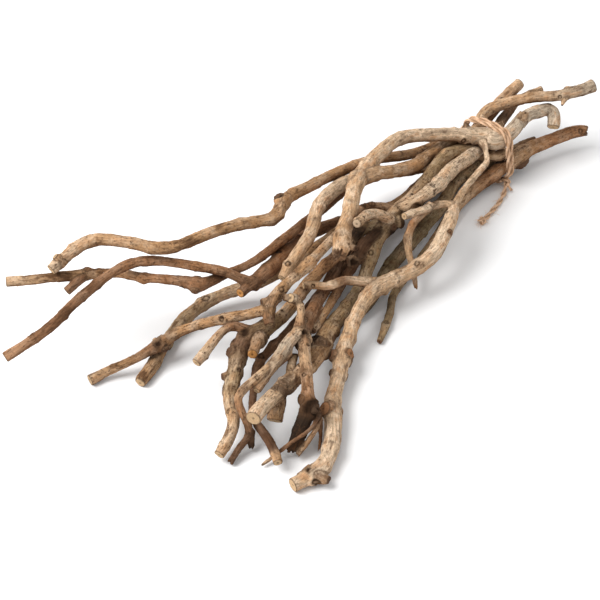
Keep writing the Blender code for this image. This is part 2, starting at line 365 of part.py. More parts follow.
class Bundle:
    """All the twigs' stations, which settle against each other and the surface."""

    def __init__(self):
        places, radii, owner = [], [], []
        self.spans = {}
        for number, (name, (_, _, route)) in enumerate(TWIGS.items()):
            curve, thick = smooth_route(route)
            if name in JOINED_AT_LAST:
                curve, thick = curve[::-1], thick[::-1]
            start = sum(len(part) for part in places)
            self.spans[name] = (start, start + len(curve))
            places.append(curve)
            radii.append(thick)
            owner.extend([number] * len(curve))
        self.home = np.vstack(places)
        self.places = self.home.copy()
        self.radii = np.concatenate(radii)
        self.owner = np.array(owner)
        self.give = np.array([GIVE.get(name, 1.0) for name in TWIGS])[self.owner]
        self.link_limbs()
        self.mark_joints()

    def link_limbs(self):
        """Note the station of the parent that each limb grows from."""
        self.joints = []
        self.roots = {}
        for name, (parent, _, _) in TWIGS.items():
            if parent is None:
                continue
            start = self.spans[name][0]
            low, high = self.spans[parent]
            distance = np.linalg.norm(self.home[low:high] - self.home[start], axis=1)
            self.roots[name] = low + int(distance.argmin())
            self.joints.append((name, start, self.roots[name]))

    def mark_joints(self):
        """Mark the stations near a limb's foot, which may run into its parent."""
        self.free = np.ones((len(self.home), len(self.home)), dtype=bool)
        for _, start, root in self.joints:
            reach = 2.6 * self.radii[root] + 1.6 * self.radii[start]
            near = np.linalg.norm(self.home - self.home[start], axis=1) < reach
            self.free[np.ix_(near, near)] = False

    def neighbours(self, reach):
        """Return pairs of a station and a segment of another twig that lie close."""
        same_twig = self.owner[:-1] == self.owner[1:]
        heads = np.nonzero(same_twig)[0]
        gap = np.linalg.norm(self.places[:, None] - self.places[None, heads], axis=2)
        close = gap < reach + self.radii[:, None] + self.radii[None, heads]
        close &= self.owner[:, None] != self.owner[None, heads]
        close &= self.free[:, heads]
        stations, columns = np.nonzero(close)
        return stations, heads[columns]

    def part(self, stations, heads, strength):
        """Push overlapping twigs apart and return the deepest overlap."""
        start, end = self.places[heads], self.places[heads + 1]
        along = end - start
        share = np.einsum("ij,ij->i", self.places[stations] - start, along)
        share = np.clip(share / np.einsum("ij,ij->i", along, along), 0.0, 1.0)
        apart = self.places[stations] - (start + along * share[:, None])
        gap = np.linalg.norm(apart, axis=1)
        thick = self.radii[stations] + self.radii[heads] * (1 - share)
        thick = thick + self.radii[heads + 1] * share
        overlap = thick + CLEARANCE - gap
        touching = overlap > 0
        if not touching.any():
            return 0.0
        stations, heads = stations[touching], heads[touching]
        push = apart[touching] / np.maximum(gap[touching], 1e-6)[:, None]
        push = push * (overlap[touching] * strength)[:, None]
        yields = self.give[stations] / (self.give[stations] + self.give[heads])
        share = share[touching][:, None]
        away = push * yields[:, None]
        back = away - push
        moved = np.zeros_like(self.places)
        weight = np.zeros(len(self.places))
        largest = np.zeros(len(self.places))
        for index, part in ((stations, away), (heads, back * (1 - share)),
                            (heads + 1, back * share)):
            size = np.linalg.norm(part, axis=1)
            np.add.at(moved, index, part)
            np.add.at(weight, index, size)
            np.maximum.at(largest, index, size)
        scale = np.minimum(1.0, largest / np.maximum(weight, 1e-9))
        self.places += moved * (0.35 + 0.65 * scale[:, None])
        return float(overlap[touching].max())

    def even_out(self, amount):
        """Spread each twig's shift along it, so that its own bends keep their shape."""
        shift = self.places - self.home
        for start, end in self.spans.values():
            part = shift[start:end]
            middle = (part[:-2] + part[2:]) / 2
            part[1:-1] += (middle - part[1:-1]) * amount
            part[0] += (part[1] - part[0]) * amount
            part[-1] += (part[-2] - part[-1]) * amount
        for _, start, root in self.joints:
            shift[start] += (shift[root] - shift[start]) * 0.8
        self.places = self.home + shift * RECALL

    def settle(self):
        """Part the twigs, keeping them above the surface."""
        beside = np.clip(np.abs(self.home[:, 0] - TIE_FOOT[0]) / MM - 8.0, 0.0, None)
        lift = (TWINE_DIAMETER + TWINE_SLACK + TOUCH) * np.exp(-(beside / 18.0) ** 2)
        floor = self.radii + TOUCH + lift
        for turn in range(SETTLE_ROUNDS + FINAL_ROUNDS):
            if turn % 20 == 0:
                stations, heads = self.neighbours(0.012)
            deepest = self.part(stations, heads, 0.8)
            final = turn >= SETTLE_ROUNDS
            self.even_out(0.12 if final else 0.5)
            self.places[:, 2] = np.maximum(self.places[:, 2], floor)
        return deepest

    def size_up(self, length):
        """Scale everything so that the bundle has its length along X."""
        ends = self.places[:, 0]
        self.growth = length / (ends.max() - ends.min())
        self.unmoved = self.home
        self.places = self.places * self.growth
        self.radii = self.radii * self.growth
        self.twine_plane = TIE_FOOT[0] * self.growth

    def twig(self, name):
        """Return one twig's places and radii."""
        start, end = self.spans[name]
        return self.places[start:end], self.radii[start:end]


def kept_stations(places, radii, tolerance, longest):
    """Return the stations that a faceted twig needs to follow its bends."""
    keep = {0, len(places) - 1}
    pending = [(0, len(places) - 1)]
    while pending:
        low, high = pending.pop()
        if high - low < 2:
            continue
        marks = np.linspace(0.0, 1.0, high - low + 1)[1:-1, None]
        chord = places[low] * (1 - marks) + places[high] * marks
        drift = np.linalg.norm(places[low + 1:high] - chord, axis=1)
        thin = np.abs(radii[low + 1:high] - radii[low] * (1 - marks[:, 0]) - radii[high] * marks[:, 0])
        worst = np.maximum(drift, thin)
        span = np.linalg.norm(places[high] - places[low])
        if worst.max() > tolerance or span > longest:
            middle = low + 1 + int(worst.argmax()) if worst.max() > tolerance else (low + high) // 2
            keep.add(middle)
            pending += [(low, middle), (middle, high)]
    chosen = sorted(keep)
    spaced = [chosen[0]]
    for index in chosen[1:]:
        if np.linalg.norm(places[index] - places[spaced[-1]]) > 1.15 * radii[index]:
            spaced.append(index)
        elif index == chosen[-1]:
            spaced[-1] = index
    return spaced


def tube_mesh(name, places, radii, sides=SIDES):
    """Return a closed faceted tube along the places, with flat ends."""
    tangents = np.gradient(places, axis=0)
    tangents /= np.linalg.norm(tangents, axis=1)[:, None]
    side = np.cross(tangents[0], [0.0, 0.0, 1.0])
    if np.linalg.norm(side) < 0.1:
        side = np.cross(tangents[0], [0.0, 1.0, 0.0])
    frame = bmesh.new()
    ring = None
    for place, radius, tangent in zip(places, radii, tangents):
        side = side - tangent * np.dot(side, tangent)
        side /= np.linalg.norm(side)
        other = np.cross(tangent, side)
        if ring is None:
            ring = bmesh.ops.create_circle(frame, cap_ends=False, segments=sides, radius=1.0)["verts"]
            angles = [math.atan2(vert.co.y, vert.co.x) for vert in ring]
            edges = frame.edges[:]
        else:
            grown = bmesh.ops.extrude_edge_only(frame, edges=edges)["geom"]
            edges = [item for item in grown if isinstance(item, bmesh.types.BMEdge)
                     and len(item.link_faces) == 1]
            fresh = {item for item in grown if isinstance(item, bmesh.types.BMVert)}
            ring = [next(edge.other_vert(vert) for edge in vert.link_edges
                         if edge.other_vert(vert) in fresh) for vert in ring]
        for vert, angle in zip(ring, angles):
            vert.co = Vector(place + (side * math.cos(angle) + other * math.sin(angle)) * radius)
    bmesh.ops.holes_fill(frame, edges=frame.edges[:], sides=0)
    bmesh.ops.recalc_face_normals(frame, faces=frame.faces[:])
    mesh = bpy.data.meshes.new(name)
    frame.to_mesh(mesh)
    frame.free()
    return mesh


def bark(name, colour, roughness):
    """Return a plain material of one colour."""
    material = bpy.data.materials.new(name)
    material.use_nodes = True
    shader = material.node_tree.nodes["Principled BSDF"]
    shader.inputs["Base Color"].default_value = (*colour, 1.0)
    shader.inputs["Roughness"].default_value = roughness
    shader.inputs["Metallic"].default_value = 0.0
    return material


def add_object(name, mesh, material=None):
    """Put a mesh in the scene as a named object."""
    thing = bpy.data.objects.new(name, mesh)
    bpy.context.scene.collection.objects.link(thing)
    if material is not None:
        mesh.materials.clear()
        mesh.materials.append(material)
    return thing


def combine(thing, tool, operation):
    """Cut or join one object with another, which is removed."""
    modifier = thing.modifiers.new("combine", "BOOLEAN")
    modifier.operation = operation
    modifier.solver = "EXACT"
    modifier.object = tool
    graph = bpy.context.evaluated_depsgraph_get()
    result = bpy.data.meshes.new_from_object(thing.evaluated_get(graph))
    thing.modifiers.clear()
    thing.data = result
    bpy.data.objects.remove(tool)


def keep_largest(thing):
    """Drop the loose chips that a cut leaves beside the main body."""
    frame = bmesh.new()
    frame.from_mesh(thing.data)
    unseen = set(frame.verts)
    bodies = []
    while unseen:
        seed = unseen.pop()
        body, pending = {seed}, [seed]
        while pending:
            for edge in pending.pop().link_edges:
                for vert in edge.verts:
                    if vert in unseen:
                        unseen.discard(vert)
                        body.add(vert)
                        pending.append(vert)
        bodies.append(body)
    bodies.sort(key=len)
    loose = [vert for body in bodies[:-1] for vert in body]
    bmesh.ops.delete(frame, geom=loose, context="VERTS")
    frame.to_mesh(thing.data)
    frame.free()


def overlaps(thing, other):
    """Say whether two objects' surfaces meet."""
    trees = []
    for item in (thing, other):
        frame = bmesh.new()
        frame.from_mesh(item.data)
        trees.append(BVHTree.FromBMesh(frame))
        frame.free()
    return bool(trees[0].overlap(trees[1]))


def swollen_copy(thing, amount):
    """Return a copy of an object with its surface moved out by an amount."""
    frame = bmesh.new()
    frame.from_mesh(thing.data)
    moves = [(vert, vert.normal * amount * vert.calc_shell_factor()) for vert in frame.verts]
    for vert, move in moves:
        vert.co += move
    mesh = bpy.data.meshes.new("swollen")
    frame.to_mesh(mesh)
    frame.free()
    return add_object("swollen", mesh)


def hull_loop(points):
    """Return the convex outline of 2D points, anticlockwise."""
    ordered = sorted(map(tuple, points))
    halves = []
    for run in (ordered, ordered[::-1]):
        half = []
        for point in run:
            while len(half) > 1:
                (ax, ay), (bx, by) = half[-2], half[-1]
                if (bx - ax) * (point[1] - ay) - (by - ay) * (point[0] - ax) > 0:
                    break
                half.pop()
            half.append(point)
        halves.append(half[:-1])
    return np.array(halves[0] + halves[1])


def twine_outline(bundle, offset):
    """Return the line that taut twine takes around the twigs, in the twine's plane."""
    angles = np.radians(np.arange(0, 360, 10))
    half_width = TWINE_TURNS * (TWINE_DIAMETER + TWINE_GAP) / 2 + TWINE_DIAMETER / 2
    circles = []
    for start, end in bundle.spans.values():
        for index in range(start, end - 1):
            for share in (0.0, 0.25, 0.5, 0.75):
                place = bundle.places[index] * (1 - share) + bundle.places[index + 1] * share
                radius = bundle.radii[index] * (1 - share) + bundle.radii[index + 1] * share
                beside = max(0.0, abs(place[0] - bundle.twine_plane) - half_width)
                if beside >= radius:
                    continue
                reach = math.sqrt(radius ** 2 - beside ** 2) + offset
                circles += [(place[1] + reach * math.cos(a), place[2] + reach * math.sin(a))
                            for a in angles]
    return hull_loop(circles)


def even_loop(outline, count):
    """Return evenly spaced points on a closed outline, from its lowest point at the front."""
    closed = np.vstack([outline, outline[:1]])
    length = np.concatenate([[0.0], np.cumsum(np.linalg.norm(np.diff(closed, axis=0), axis=1))])
    marks = np.linspace(0.0, length[-1], count + 1)[:-1]
    loop = np.stack([np.interp(marks, length, closed[:, axis]) for axis in range(2)], axis=1)
    middle = loop.mean(axis=0)
    spoke = loop - middle
    turn = np.arctan2(spoke[:, 1], spoke[:, 0]) - KNOT_ANGLE
    first = int(np.abs((turn + math.pi) % (2 * math.pi) - math.pi).argmin())
    return np.roll(loop, -first, axis=0)


def twine_turns(bundle):
    """Return the places along the twine's turns around the bundle."""
    outline = twine_outline(bundle, TWINE_DIAMETER / 2 + TWINE_SLACK)
    loop = even_loop(outline, TWINE_STATIONS)
    count = TWINE_TURNS * TWINE_STATIONS
    pitch = TWINE_DIAMETER + TWINE_GAP
    places = []
    for index in range(count + 1):
        across, height = loop[index % TWINE_STATIONS]
        lead = (index / count - 0.5) * TWINE_TURNS * pitch
        places.append((bundle.twine_plane + lead, across, height))
    return np.array(places)


def tail_route(knot):
    """Return the places along the twine's free end, from the knot to the surface."""
    lay = TWINE_DIAMETER / 2 + TOUCH
    leave = np.array([-0.82, -0.57, 0.0])
    start = knot + leave * (KNOT_SIZE * 0.52 + TOUCH)
    route = [start]
    for ahead, aside, height in TAIL_LAY:
        place = start + np.array([ahead, aside, 0.0]) * TAIL_LENGTH
        place[2] = lay + (start[2] - lay) * height
        route.append(place)
    return np.array(route)


def root_in_parent(places, radii, root, thickness):
    """Start a limb at the middle of what it grows from."""
    if np.linalg.norm(places[0] - root) > 0.6 * thickness:
        places = np.vstack([root, places])
        radii = np.concatenate([radii[:1], radii])
    else:
        places = places.copy()
        places[0] = root
        radii = radii.copy()
    radii[0] *= 0.7
    return places, radii


def knot_lump(place):
    """Return a lump for the knot, a little wider than it is tall."""
    frame = bmesh.new()
    bmesh.ops.create_icosphere(frame, subdivisions=2, radius=KNOT_SIZE / 2)
    bmesh.ops.scale(frame, vec=(1.15, 0.9, 1.0), verts=frame.verts[:])
    bmesh.ops.translate(frame, vec=Vector(place), verts=frame.verts[:])
    mesh = bpy.data.meshes.new("knot")
    frame.to_mesh(mesh)
    frame.free()
    return add_object("knot", mesh)


def add_tail(name, route, material):
    """Return the twine's free end as a round cord along its route."""
    cord = bpy.data.curves.new(name, "CURVE")
    cord.dimensions = "3D"
    cord.bevel_depth = TWINE_DIAMETER / 2
    cord.bevel_resolution = 2
    cord.use_fill_caps = True
    line = cord.splines.new("POLY")
    line.points.add(len(route) - 1)
    for point, place in zip(line.points, route):
        point.co = (*place, 1.0)
    cord.materials.append(material)
    thing = bpy.data.objects.new(name, cord)
    bpy.context.scene.collection.objects.link(thing)
    return thing


def limb_shapes(bundle):
    """Return each limb's kept places and radii, rooted in its parent where it has one."""
    shapes = {}
    for name, (parent, _, _) in TWIGS.items():
        places, radii = bundle.twig(name)
        if parent is not None:
            root = bundle.roots[name]
            places, radii = root_in_parent(places, radii, bundle.places[root], bundle.radii[root])
        kept = kept_stations(places, radii, FACET_TOLERANCE, LONGEST_FACET)
        shapes[name] = (places[kept], radii[kept])
    return shapes


def fuse_stub(bundle, thing, name, route):
    """Fuse a broken-off side shoot to its twig, carried along with the twig's nearest point."""
    low, high = bundle.spans[name]
    stub = [route_point(entry) for entry in route]
    places = np.array([place for place, _ in stub])
    radii = np.array([radius for _, radius in stub])
    nearest = low + int(np.linalg.norm(bundle.unmoved[low:high] - places[0], axis=1).argmin())
    places = (places - bundle.unmoved[nearest]) * bundle.growth + bundle.places[nearest]
    places[0] = bundle.places[nearest] + (places[0] - bundle.places[nearest]) * 0.4
    combine(thing, add_object("shoot", tube_mesh("shoot", places, radii, 6)), "UNION")


def clear_overlaps(things):
    """Cut each limb back from the limbs before it that it still runs into."""
    names = list(things)
    for late in range(1, len(names)):
        for early in range(late):
            thing, other = things[names[late]], things[names[early]]
            if overlaps(thing, other):
                combine(thing, swollen_copy(other, TOUCH * 1.2), "DIFFERENCE")
                keep_largest(thing)


def add_tie(turns, knot):
    """Return the twine's turns with the knot's lump on them."""
    thickness = np.full(len(turns), TWINE_DIAMETER / 2)
    twine = add_object("twine_tie", tube_mesh("twine_tie", turns, thickness, 8), bark("jute_tie", JUTE, 0.95))
    combine(twine, knot_lump(knot), "UNION")
    return twine


def main():
    """Settle the bundle, build its pieces and set them down around the origin."""
    for thing in list(bpy.data.objects):
        bpy.data.objects.remove(thing)

    bundle = Bundle()
    bundle.settle()
    bundle.size_up(OVERALL_LENGTH)

    things = {}
    for name, (places, radii) in limb_shapes(bundle).items():
        material = bark(name + "_bark", TWIGS[name][1], 0.85)
        things[name] = add_object(name, tube_mesh(name, places, radii), material)
    for name, route in STUBS:
        fuse_stub(bundle, things[name], name, route)
    clear_overlaps(things)

    turns = twine_turns(bundle)
    knot = (turns[0] + turns[-1]) / 2 + np.array([0.0, -KNOT_SIZE * 0.25, 0.0])
    knot[2] = max(knot[2], KNOT_SIZE / 2 + TOUCH)
    twine = add_tie(turns, knot)
    tail = add_tail("twine_tail", tail_route(knot), bark("jute_tail", JUTE, 0.95))

    anchor = bpy.data.objects.new("bundle", None)
    bpy.context.scene.collection.objects.link(anchor)
    corners = np.array([vert.co for thing in [*things.values(), twine] for vert in thing.data.vertices])
    low, high = corners.min(axis=0), corners.max(axis=0)
    anchor.location = (-(low[0] + high[0]) / 2, -(low[1] + high[1]) / 2, -low[2])
    for thing in [*things.values(), twine, tail]:
        thing.parent = anchor


main()
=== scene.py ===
"""The bundle of dry twigs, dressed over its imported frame.

Each branch is one bark surface over its forks: a rough skin around the branch's limbs is
drawn onto a smooth field around their middle lines, which blends the forks, and is then
worked with the swellings, scars and fissures of weathered bark. The twine is two plies
laid round each other, with loose fibres.
"""
import math

import bmesh
import bpy
import numpy as np
from mathutils import Matrix, Vector
from mathutils.kdtree import KDTree


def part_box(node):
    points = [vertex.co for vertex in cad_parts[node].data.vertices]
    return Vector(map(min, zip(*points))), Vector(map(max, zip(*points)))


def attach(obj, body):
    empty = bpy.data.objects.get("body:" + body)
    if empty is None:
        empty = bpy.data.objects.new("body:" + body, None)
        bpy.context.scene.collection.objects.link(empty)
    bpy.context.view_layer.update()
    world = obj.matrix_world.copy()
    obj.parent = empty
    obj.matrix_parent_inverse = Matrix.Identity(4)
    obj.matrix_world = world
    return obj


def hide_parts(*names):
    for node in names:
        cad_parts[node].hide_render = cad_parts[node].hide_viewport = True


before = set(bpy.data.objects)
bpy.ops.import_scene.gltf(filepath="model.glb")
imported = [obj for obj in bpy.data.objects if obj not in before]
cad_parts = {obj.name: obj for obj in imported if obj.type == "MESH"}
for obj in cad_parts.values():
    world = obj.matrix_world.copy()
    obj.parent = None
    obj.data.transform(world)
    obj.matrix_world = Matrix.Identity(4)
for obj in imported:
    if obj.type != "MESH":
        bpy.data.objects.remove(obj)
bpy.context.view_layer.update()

# The bundle and its twine, in metres
OVERALL_LENGTH = 0.598
TWINE_DIAMETER = 0.0046
TWINE_TURNS = 2
TWINE_STATIONS = 32
TWINE_SLACK = 0.0010
TWINE_GAP = 0.0005
KNOT_SIZE = 0.0098
KNOT_ANGLE = math.radians(-142.0)
TAIL_LENGTH = 0.062

MM = 0.001

# Gaps that keep the pieces from running into each other
TOUCH = 0.0003
CLEARANCE = 0.0010

# The station that the routes are sighted from
STATION_RISE = math.radians(42.0)
STATION_TURN = math.radians(46.0)
STATION_DISTANCE = 1.27
GRID_CENTRE = 300.0
GRID_DEPTH = 1411.0
TIE_SIGHTED = (483.6, 173.3)
TIE = "tie"

# Settling of the twigs on each other
STEP = 0.006
SETTLE_ROUNDS = 260
FINAL_ROUNDS = 60
RECALL = 0.997

# name: (what it grows from, route)
TWIGS = {
    "long_bent_twig": (None, [
        (594, 86, 74, 13), (576, 92, 71, 12), (558, 96, 68, 11), (540, 98, 64, 11),
        (520, 101.5, 60, 11), (508, 104.5, 56, 11.5), (497, 108, 53, 12), (487, 113.5, 50, 12),
        (482, 121, 47, 11), (TIE, 10.5, 44, 10.5),
        (470, 137, 42, 10), (458, 141, 37, 10), (446, 146, 36, 10),
        (430, 151.5, 41, 10), (410, 156, 48, 10), (390, 158, 54, 10), (372, 161, 58, 10),
        (355, 166, 60, 10.5),
        (342, 171, 62, 11), (325, 178, 66, 10.5), (308, 187, 70, 11), (294, 194, 74, 11),
        (286, 200, 76, 12), (281, 207, 78, 12), (276, 216, 80, 11.5), (266, 219.5, 82, 10.5),
        (250, 223, 84, 10.5), (230, 227.5, 86, 10.5), (210, 233.5, 88, 10.5),
        (195, 239, 88, 10.5), (180, 245, 88, 9.5), (165, 248.5, 88, 11.5), (150, 247, 90, 11),
        (135, 243.5, 92, 10.5), (118, 240.5, 94, 10.5), (104, 239, 94, 10.5),
        (92, 240, 92, 11), (82, 244, 90, 11), (73, 250.5, 87, 10.5), (63, 259, 84, 9.5),
        (51, 270, 80, 9.5)]),
    "arched_branch": (None, [
        (553, 127, 44, 12.5), (554, 119, 49, 13), (553.5, 111.5, 53, 13.5), (546, 108.5, 55, 12.5),
        (536, 111, 56, 13), (528, 114.5, 56, 13), (519, 122, 54, 13.5), (510, 132, 50, 14.5),
        (TIE, -10, 45.3, 20), (484, 137.5, 46.5, 18.5), (473, 136.5, 51, 16),
        (462, 136, 55.5, 14), (450, 134.5, 60, 13),
        (430, 134, 66, 12.8), (412, 135, 71, 13), (400, 138, 74, 13.5), (391, 142.5, 75, 14),
        (383, 150, 76, 14), (374, 159, 77, 14.5), (365, 170, 77, 15.5), (358, 180, 77, 16),
        (354, 190, 77, 15), (352, 200, 77, 14.5), (350.5, 210, 77, 14), (348.5, 220, 77, 14),
        (345, 230, 77, 14.5), (343, 240, 76, 15.5), (341, 250, 75, 14.5),
        (340, 255.5, 75, 12.5)]),
    "arched_branch_fork": ("arched_branch", [
        (520, 84, 52, 12), (510, 94, 49, 12.5), (501, 104, 45, 12), (493, 113, 42, 11.5),
        (TIE, 21.5, 36.5, 11.5), (462, 141.5, 41, 11), (450, 144, 44, 11.5), (441, 149, 46, 12),
        (432, 157, 48, 12.5), (421, 164, 52, 13), (410, 168, 57, 13), (400, 170.5, 62, 13),
        (390, 172.5, 68, 12.5), (380, 172.5, 72, 12.5), (370, 175, 76, 13),
        (362, 177, 77, 13)]),
    "knotted_branch": (None, [
        (541, 88.5, 53, 7.5), (528, 94, 50, 8), (516, 100, 46, 9), (508, 110, 41, 10),
        (499, 121, 37, 11), (TIE, 0, 32.3, 11.5), (466, 147, 40, 12.5), (455, 149.5, 46, 13),
        (446, 153, 49, 13), (438, 159, 50, 13), (432, 167.5, 49, 13), (427, 177, 47, 13),
        (420, 187, 45, 13), (411, 197, 45, 13), (402, 206.5, 46, 13.5), (394, 215, 47, 14),
        (387, 224, 46, 14), (380, 234, 43, 14), (374, 246, 38, 13.5), (370, 258, 32, 13),
        (366, 270, 24, 12.5), (361, 284, 17, 12), (352, 298, 16, 12), (343, 310, 17, 12),
        (333, 324, 19, 14), (325, 336, 21, 17), (320, 347, 23, 18), (312, 361, 26, 15.5),
        (301, 373, 30, 13.5), (288, 384, 35, 12.5), (276, 394, 39, 12.5), (265, 404, 43, 12.5),
        (257, 412.5, 45, 12.5), (253, 418.5, 46, 13)]),
    "knotted_branch_stem": ("knotted_branch", [
        (481, 151.5, 38, 5), (476, 151.5, 41, 11), (471, 154.5, 44, 13), (465, 159, 47, 13.5),
        (455, 167, 51, 13.8), (445, 176, 54, 13.8),
        (436, 185, 57, 13.5), (427, 193, 58, 12.5), (418, 199.5, 58, 11), (409, 205, 55, 10.5),
        (401, 210, 49, 10)]),
    "hooked_limb": ("knotted_branch", [
        (391, 219, 50, 9), (384, 217, 56, 9.5), (378, 214.5, 61, 9.5), (371, 214, 66, 9),
        (364, 215.5, 72, 9), (358, 219.5, 78, 8.5), (353, 224, 83, 8)]),
    "slender_limb": ("knotted_branch", [
        (398, 211, 44, 7), (391, 207.5, 42, 7), (384, 205.5, 41, 6.5), (376, 205, 41, 6),
        (368, 205.5, 42, 6), (361, 209, 44, 6.5), (355, 214, 47, 7), (349, 221, 50, 7.5),
        (343, 228, 53, 8), (336, 236, 55, 8.3), (329, 243, 56, 8.5), (321, 251, 58, 8.5),
        (313, 260, 59, 9), (306, 267, 60, 11.5), (298, 273.5, 60, 9.5), (290, 281, 60, 9),
        (283, 288, 59, 10), (277, 294, 58, 10), (272, 302, 56, 10), (269, 310, 54, 9),
        (268, 318, 51, 9), (270, 325, 48, 7)]),
    "low_left_limb": ("slender_limb", [
        (267, 309, 54, 8), (258, 311.5, 51, 9), (248, 314.5, 48, 9.2), (236, 316.5, 44, 9.5),
        (224, 319, 40, 10), (212, 321.5, 36, 9), (200, 324.5, 32, 8.8), (190, 327.5, 29, 8.8),
        (180, 331, 26, 9.5), (170, 337, 23, 10.5), (160, 344.5, 20, 10.3), (150, 351, 18, 9),
        (140, 357, 16, 8), (128, 363, 13, 7.8), (115, 368.5, 9, 7.8), (102, 375, 5.5, 8.2),
        (90, 381.5, 4, 10)]),
    "burl_limb": ("knotted_branch", [
        (386, 225, 45, 9.5), (378, 225, 45, 10), (370, 226.5, 45, 10.5), (362, 230.5, 44, 10.8),
        (355, 237, 43, 10.8), (348, 244, 42, 10.8), (341, 252, 41, 10.8), (335, 258, 41, 11),
        (329, 264, 40, 11), (320, 271, 38, 11), (311, 279.5, 36, 11), (304, 288, 35, 11),
        (298, 297, 34, 11), (291, 306, 34, 11.3), (284, 313.5, 34, 11.5), (277, 320, 34, 12),
        (270, 326, 35, 14), (262, 331, 36, 17), (253, 336, 36, 16.5), (246, 342, 35, 16),
        (240, 350, 34, 15.5), (238, 360, 32, 14), (236, 370, 30, 12.5), (234, 380, 28, 11.6),
        (231, 390, 26, 11.6), (230, 400, 24, 11.5), (232, 410, 21, 11), (234, 420, 19, 10),
        (232, 430, 16, 9.8), (228, 440, 13, 9.6), (223, 449, 11, 9.4), (219, 455, 9.5, 9.4)]),
    "burl_side_twig": ("burl_limb", [
        (251, 333, 37, 8), (245, 329.5, 41, 8), (238, 326.5, 43, 7.6), (231, 326, 44, 7.6),
        (224, 330, 44, 7.6), (217, 337, 43, 8), (210, 346, 41, 8.3), (203, 355, 38, 8.5),
        (196, 363, 36, 8.5)]),
    "forked_limb": ("burl_limb", [
        (349, 243, 42, 9.5), (344, 252, 37, 10), (338, 262, 32, 10.5), (333, 273, 28, 10.5),
        (328, 283, 26, 10.5), (322, 293, 28, 10.5), (316, 303, 31, 10.8), (311, 313, 35, 11),
        (306, 323, 38, 11.5), (303, 333, 40, 11.5), (303, 344, 41, 10), (304, 356, 42, 9.8),
        (306, 370, 41, 10), (307, 382, 38, 9.8), (308, 393, 34, 9.8), (309, 403, 31, 11.5),
        (307, 413, 27, 12.5), (303, 424, 22, 12.5), (298, 436, 16, 11.5), (293.5, 446, 10.5, 10),
        (290, 453, 6.5, 7)]),
    "forked_limb_left": ("forked_limb", [
        (305, 323, 39, 9), (299, 332, 43, 10.5), (292, 341, 45, 11), (285, 351, 45, 11),
        (278, 360, 44, 10), (271, 369, 43, 8.8), (264, 378, 41, 7.8), (256, 391, 38, 6.5)]),
    "looped_spur": ("forked_limb_left", [
        (297, 333, 44, 6.5), (300, 322, 47, 7), (301.5, 312, 50, 6.8), (300, 304, 53, 6.5),
        (296, 299.5, 56, 7), (291, 298.5, 60, 8)]),
    "crooked_spur": ("forked_limb_left", [
        (272, 366, 43, 6), (265, 371.5, 44, 6.5), (258, 378, 44, 6.8), (251, 384, 43, 6.8),
        (245, 389, 42, 7.3), (240, 394.5, 40, 7.3), (238, 400.5, 37, 7), (241, 408, 33, 6.6),
        (244, 416, 28, 6.4), (248, 425, 22, 5.8), (250.5, 433, 16, 6.5), (251, 440, 10, 6.5),
        (252, 447.5, 5, 5)]),
    "crooked_spur_tip": ("crooked_spur", [
        (250, 437, 13, 5.5), (245, 442, 11, 5.5), (240, 448, 9, 5.5), (235, 455.5, 7, 5.3),
        (230.5, 463, 4, 5.2)]),
    "narrow_limb": ("knotted_branch", [
        (381, 232, 44, 9), (372, 239, 43, 10), (364, 249, 39, 10), (357.5, 260, 33, 10),
        (351, 271, 26, 9), (345, 281, 20, 8), (338, 292, 21, 7.5), (331, 303, 24, 7.3),
        (324, 314, 28, 7), (317, 323.5, 31, 6.8), (312.5, 331, 33, 6)]),
    "round_stub": ("knotted_branch", [
        (283, 388, 37, 9), (279, 398, 33, 11), (277, 408, 28, 12), (274.5, 421, 22, 12.5)]),
    "upright_stub": ("knotted_branch", [
        (290, 382, 34, 6.5), (291, 372, 35, 7), (293, 362, 37, 7), (295, 354, 39, 6.5)]),
    "front_branch": ("arched_branch", [
        (484.5, 142, 49, 8), (484.5, 147, 47.5, 5.2), (485.5, 152, 46, 4.8), (487.5, 158, 45, 5.4),
        (486, 163.5, 44, 5.8), (481, 169, 43.5, 6), (476, 175, 43.5, 6), (470.5, 181.5, 44, 6),
        (465, 188, 45, 6.2), (461, 194, 46, 6.5), (457, 202, 47, 7.5), (454, 211, 46, 10),
        (450, 221, 44, 13), (445, 232, 41, 13.8),
        (440, 243, 38, 14), (434, 252, 36, 14), (426, 260, 34, 14), (416, 267.5, 32, 14),
        (405, 273.5, 30.5, 14), (394, 279.5, 29.5, 15), (384, 284, 29, 15.5),
        (375, 289, 28, 15), (368, 297, 27, 13.5), (362, 306, 26, 12.5), (357, 316, 25, 12),
        (352, 327, 23, 12.5), (347, 338, 21, 13), (343, 349, 19, 14.5), (342, 360, 17, 15),
        (340, 371, 15, 13.5), (337, 382, 14, 13), (333, 394, 13, 13.5), (331, 406, 12, 15),
        (332, 418, 11.5, 14), (332.5, 430, 11, 14), (332, 441, 10.5, 14), (330, 451, 10, 13.5),
        (326, 461, 9, 13.5), (319, 470, 8, 13.5), (308, 478, 6, 12.5),
        (292.5, 486.5, 5, 12)]),
    "front_branch_fork": ("front_branch", [
        (380, 284, 30, 8.5), (370, 282, 32, 8.5), (360, 281.5, 34, 8.7), (350, 281, 36, 8.8),
        (342, 281, 38, 8.5), (336, 284, 40, 8), (329, 287, 41, 7.3), (320, 286.5, 42, 7),
        (311, 285, 42, 7), (303, 286.5, 42, 6.5)]),
    "pale_spur": ("front_branch", [
        (455, 205, 47, 6.5), (446, 203.5, 49, 6.8), (437, 205, 51, 6.8), (430, 206.5, 53, 6.5),
        (423, 210, 56, 7), (415, 212.5, 60, 7), (404, 216.5, 64, 6.8)]),
    "hanging_spur": ("pale_spur", [
        (427, 209.5, 53, 6.5), (420, 216, 50, 7), (413, 223, 46, 7.3), (409, 232, 42, 7.2),
        (408, 242, 37, 7), (408.5, 252, 32, 6.6), (411, 262, 26, 6), (413.5, 272, 20, 5.5),
        (415, 281, 15, 5), (416, 289.5, 10, 3)]),
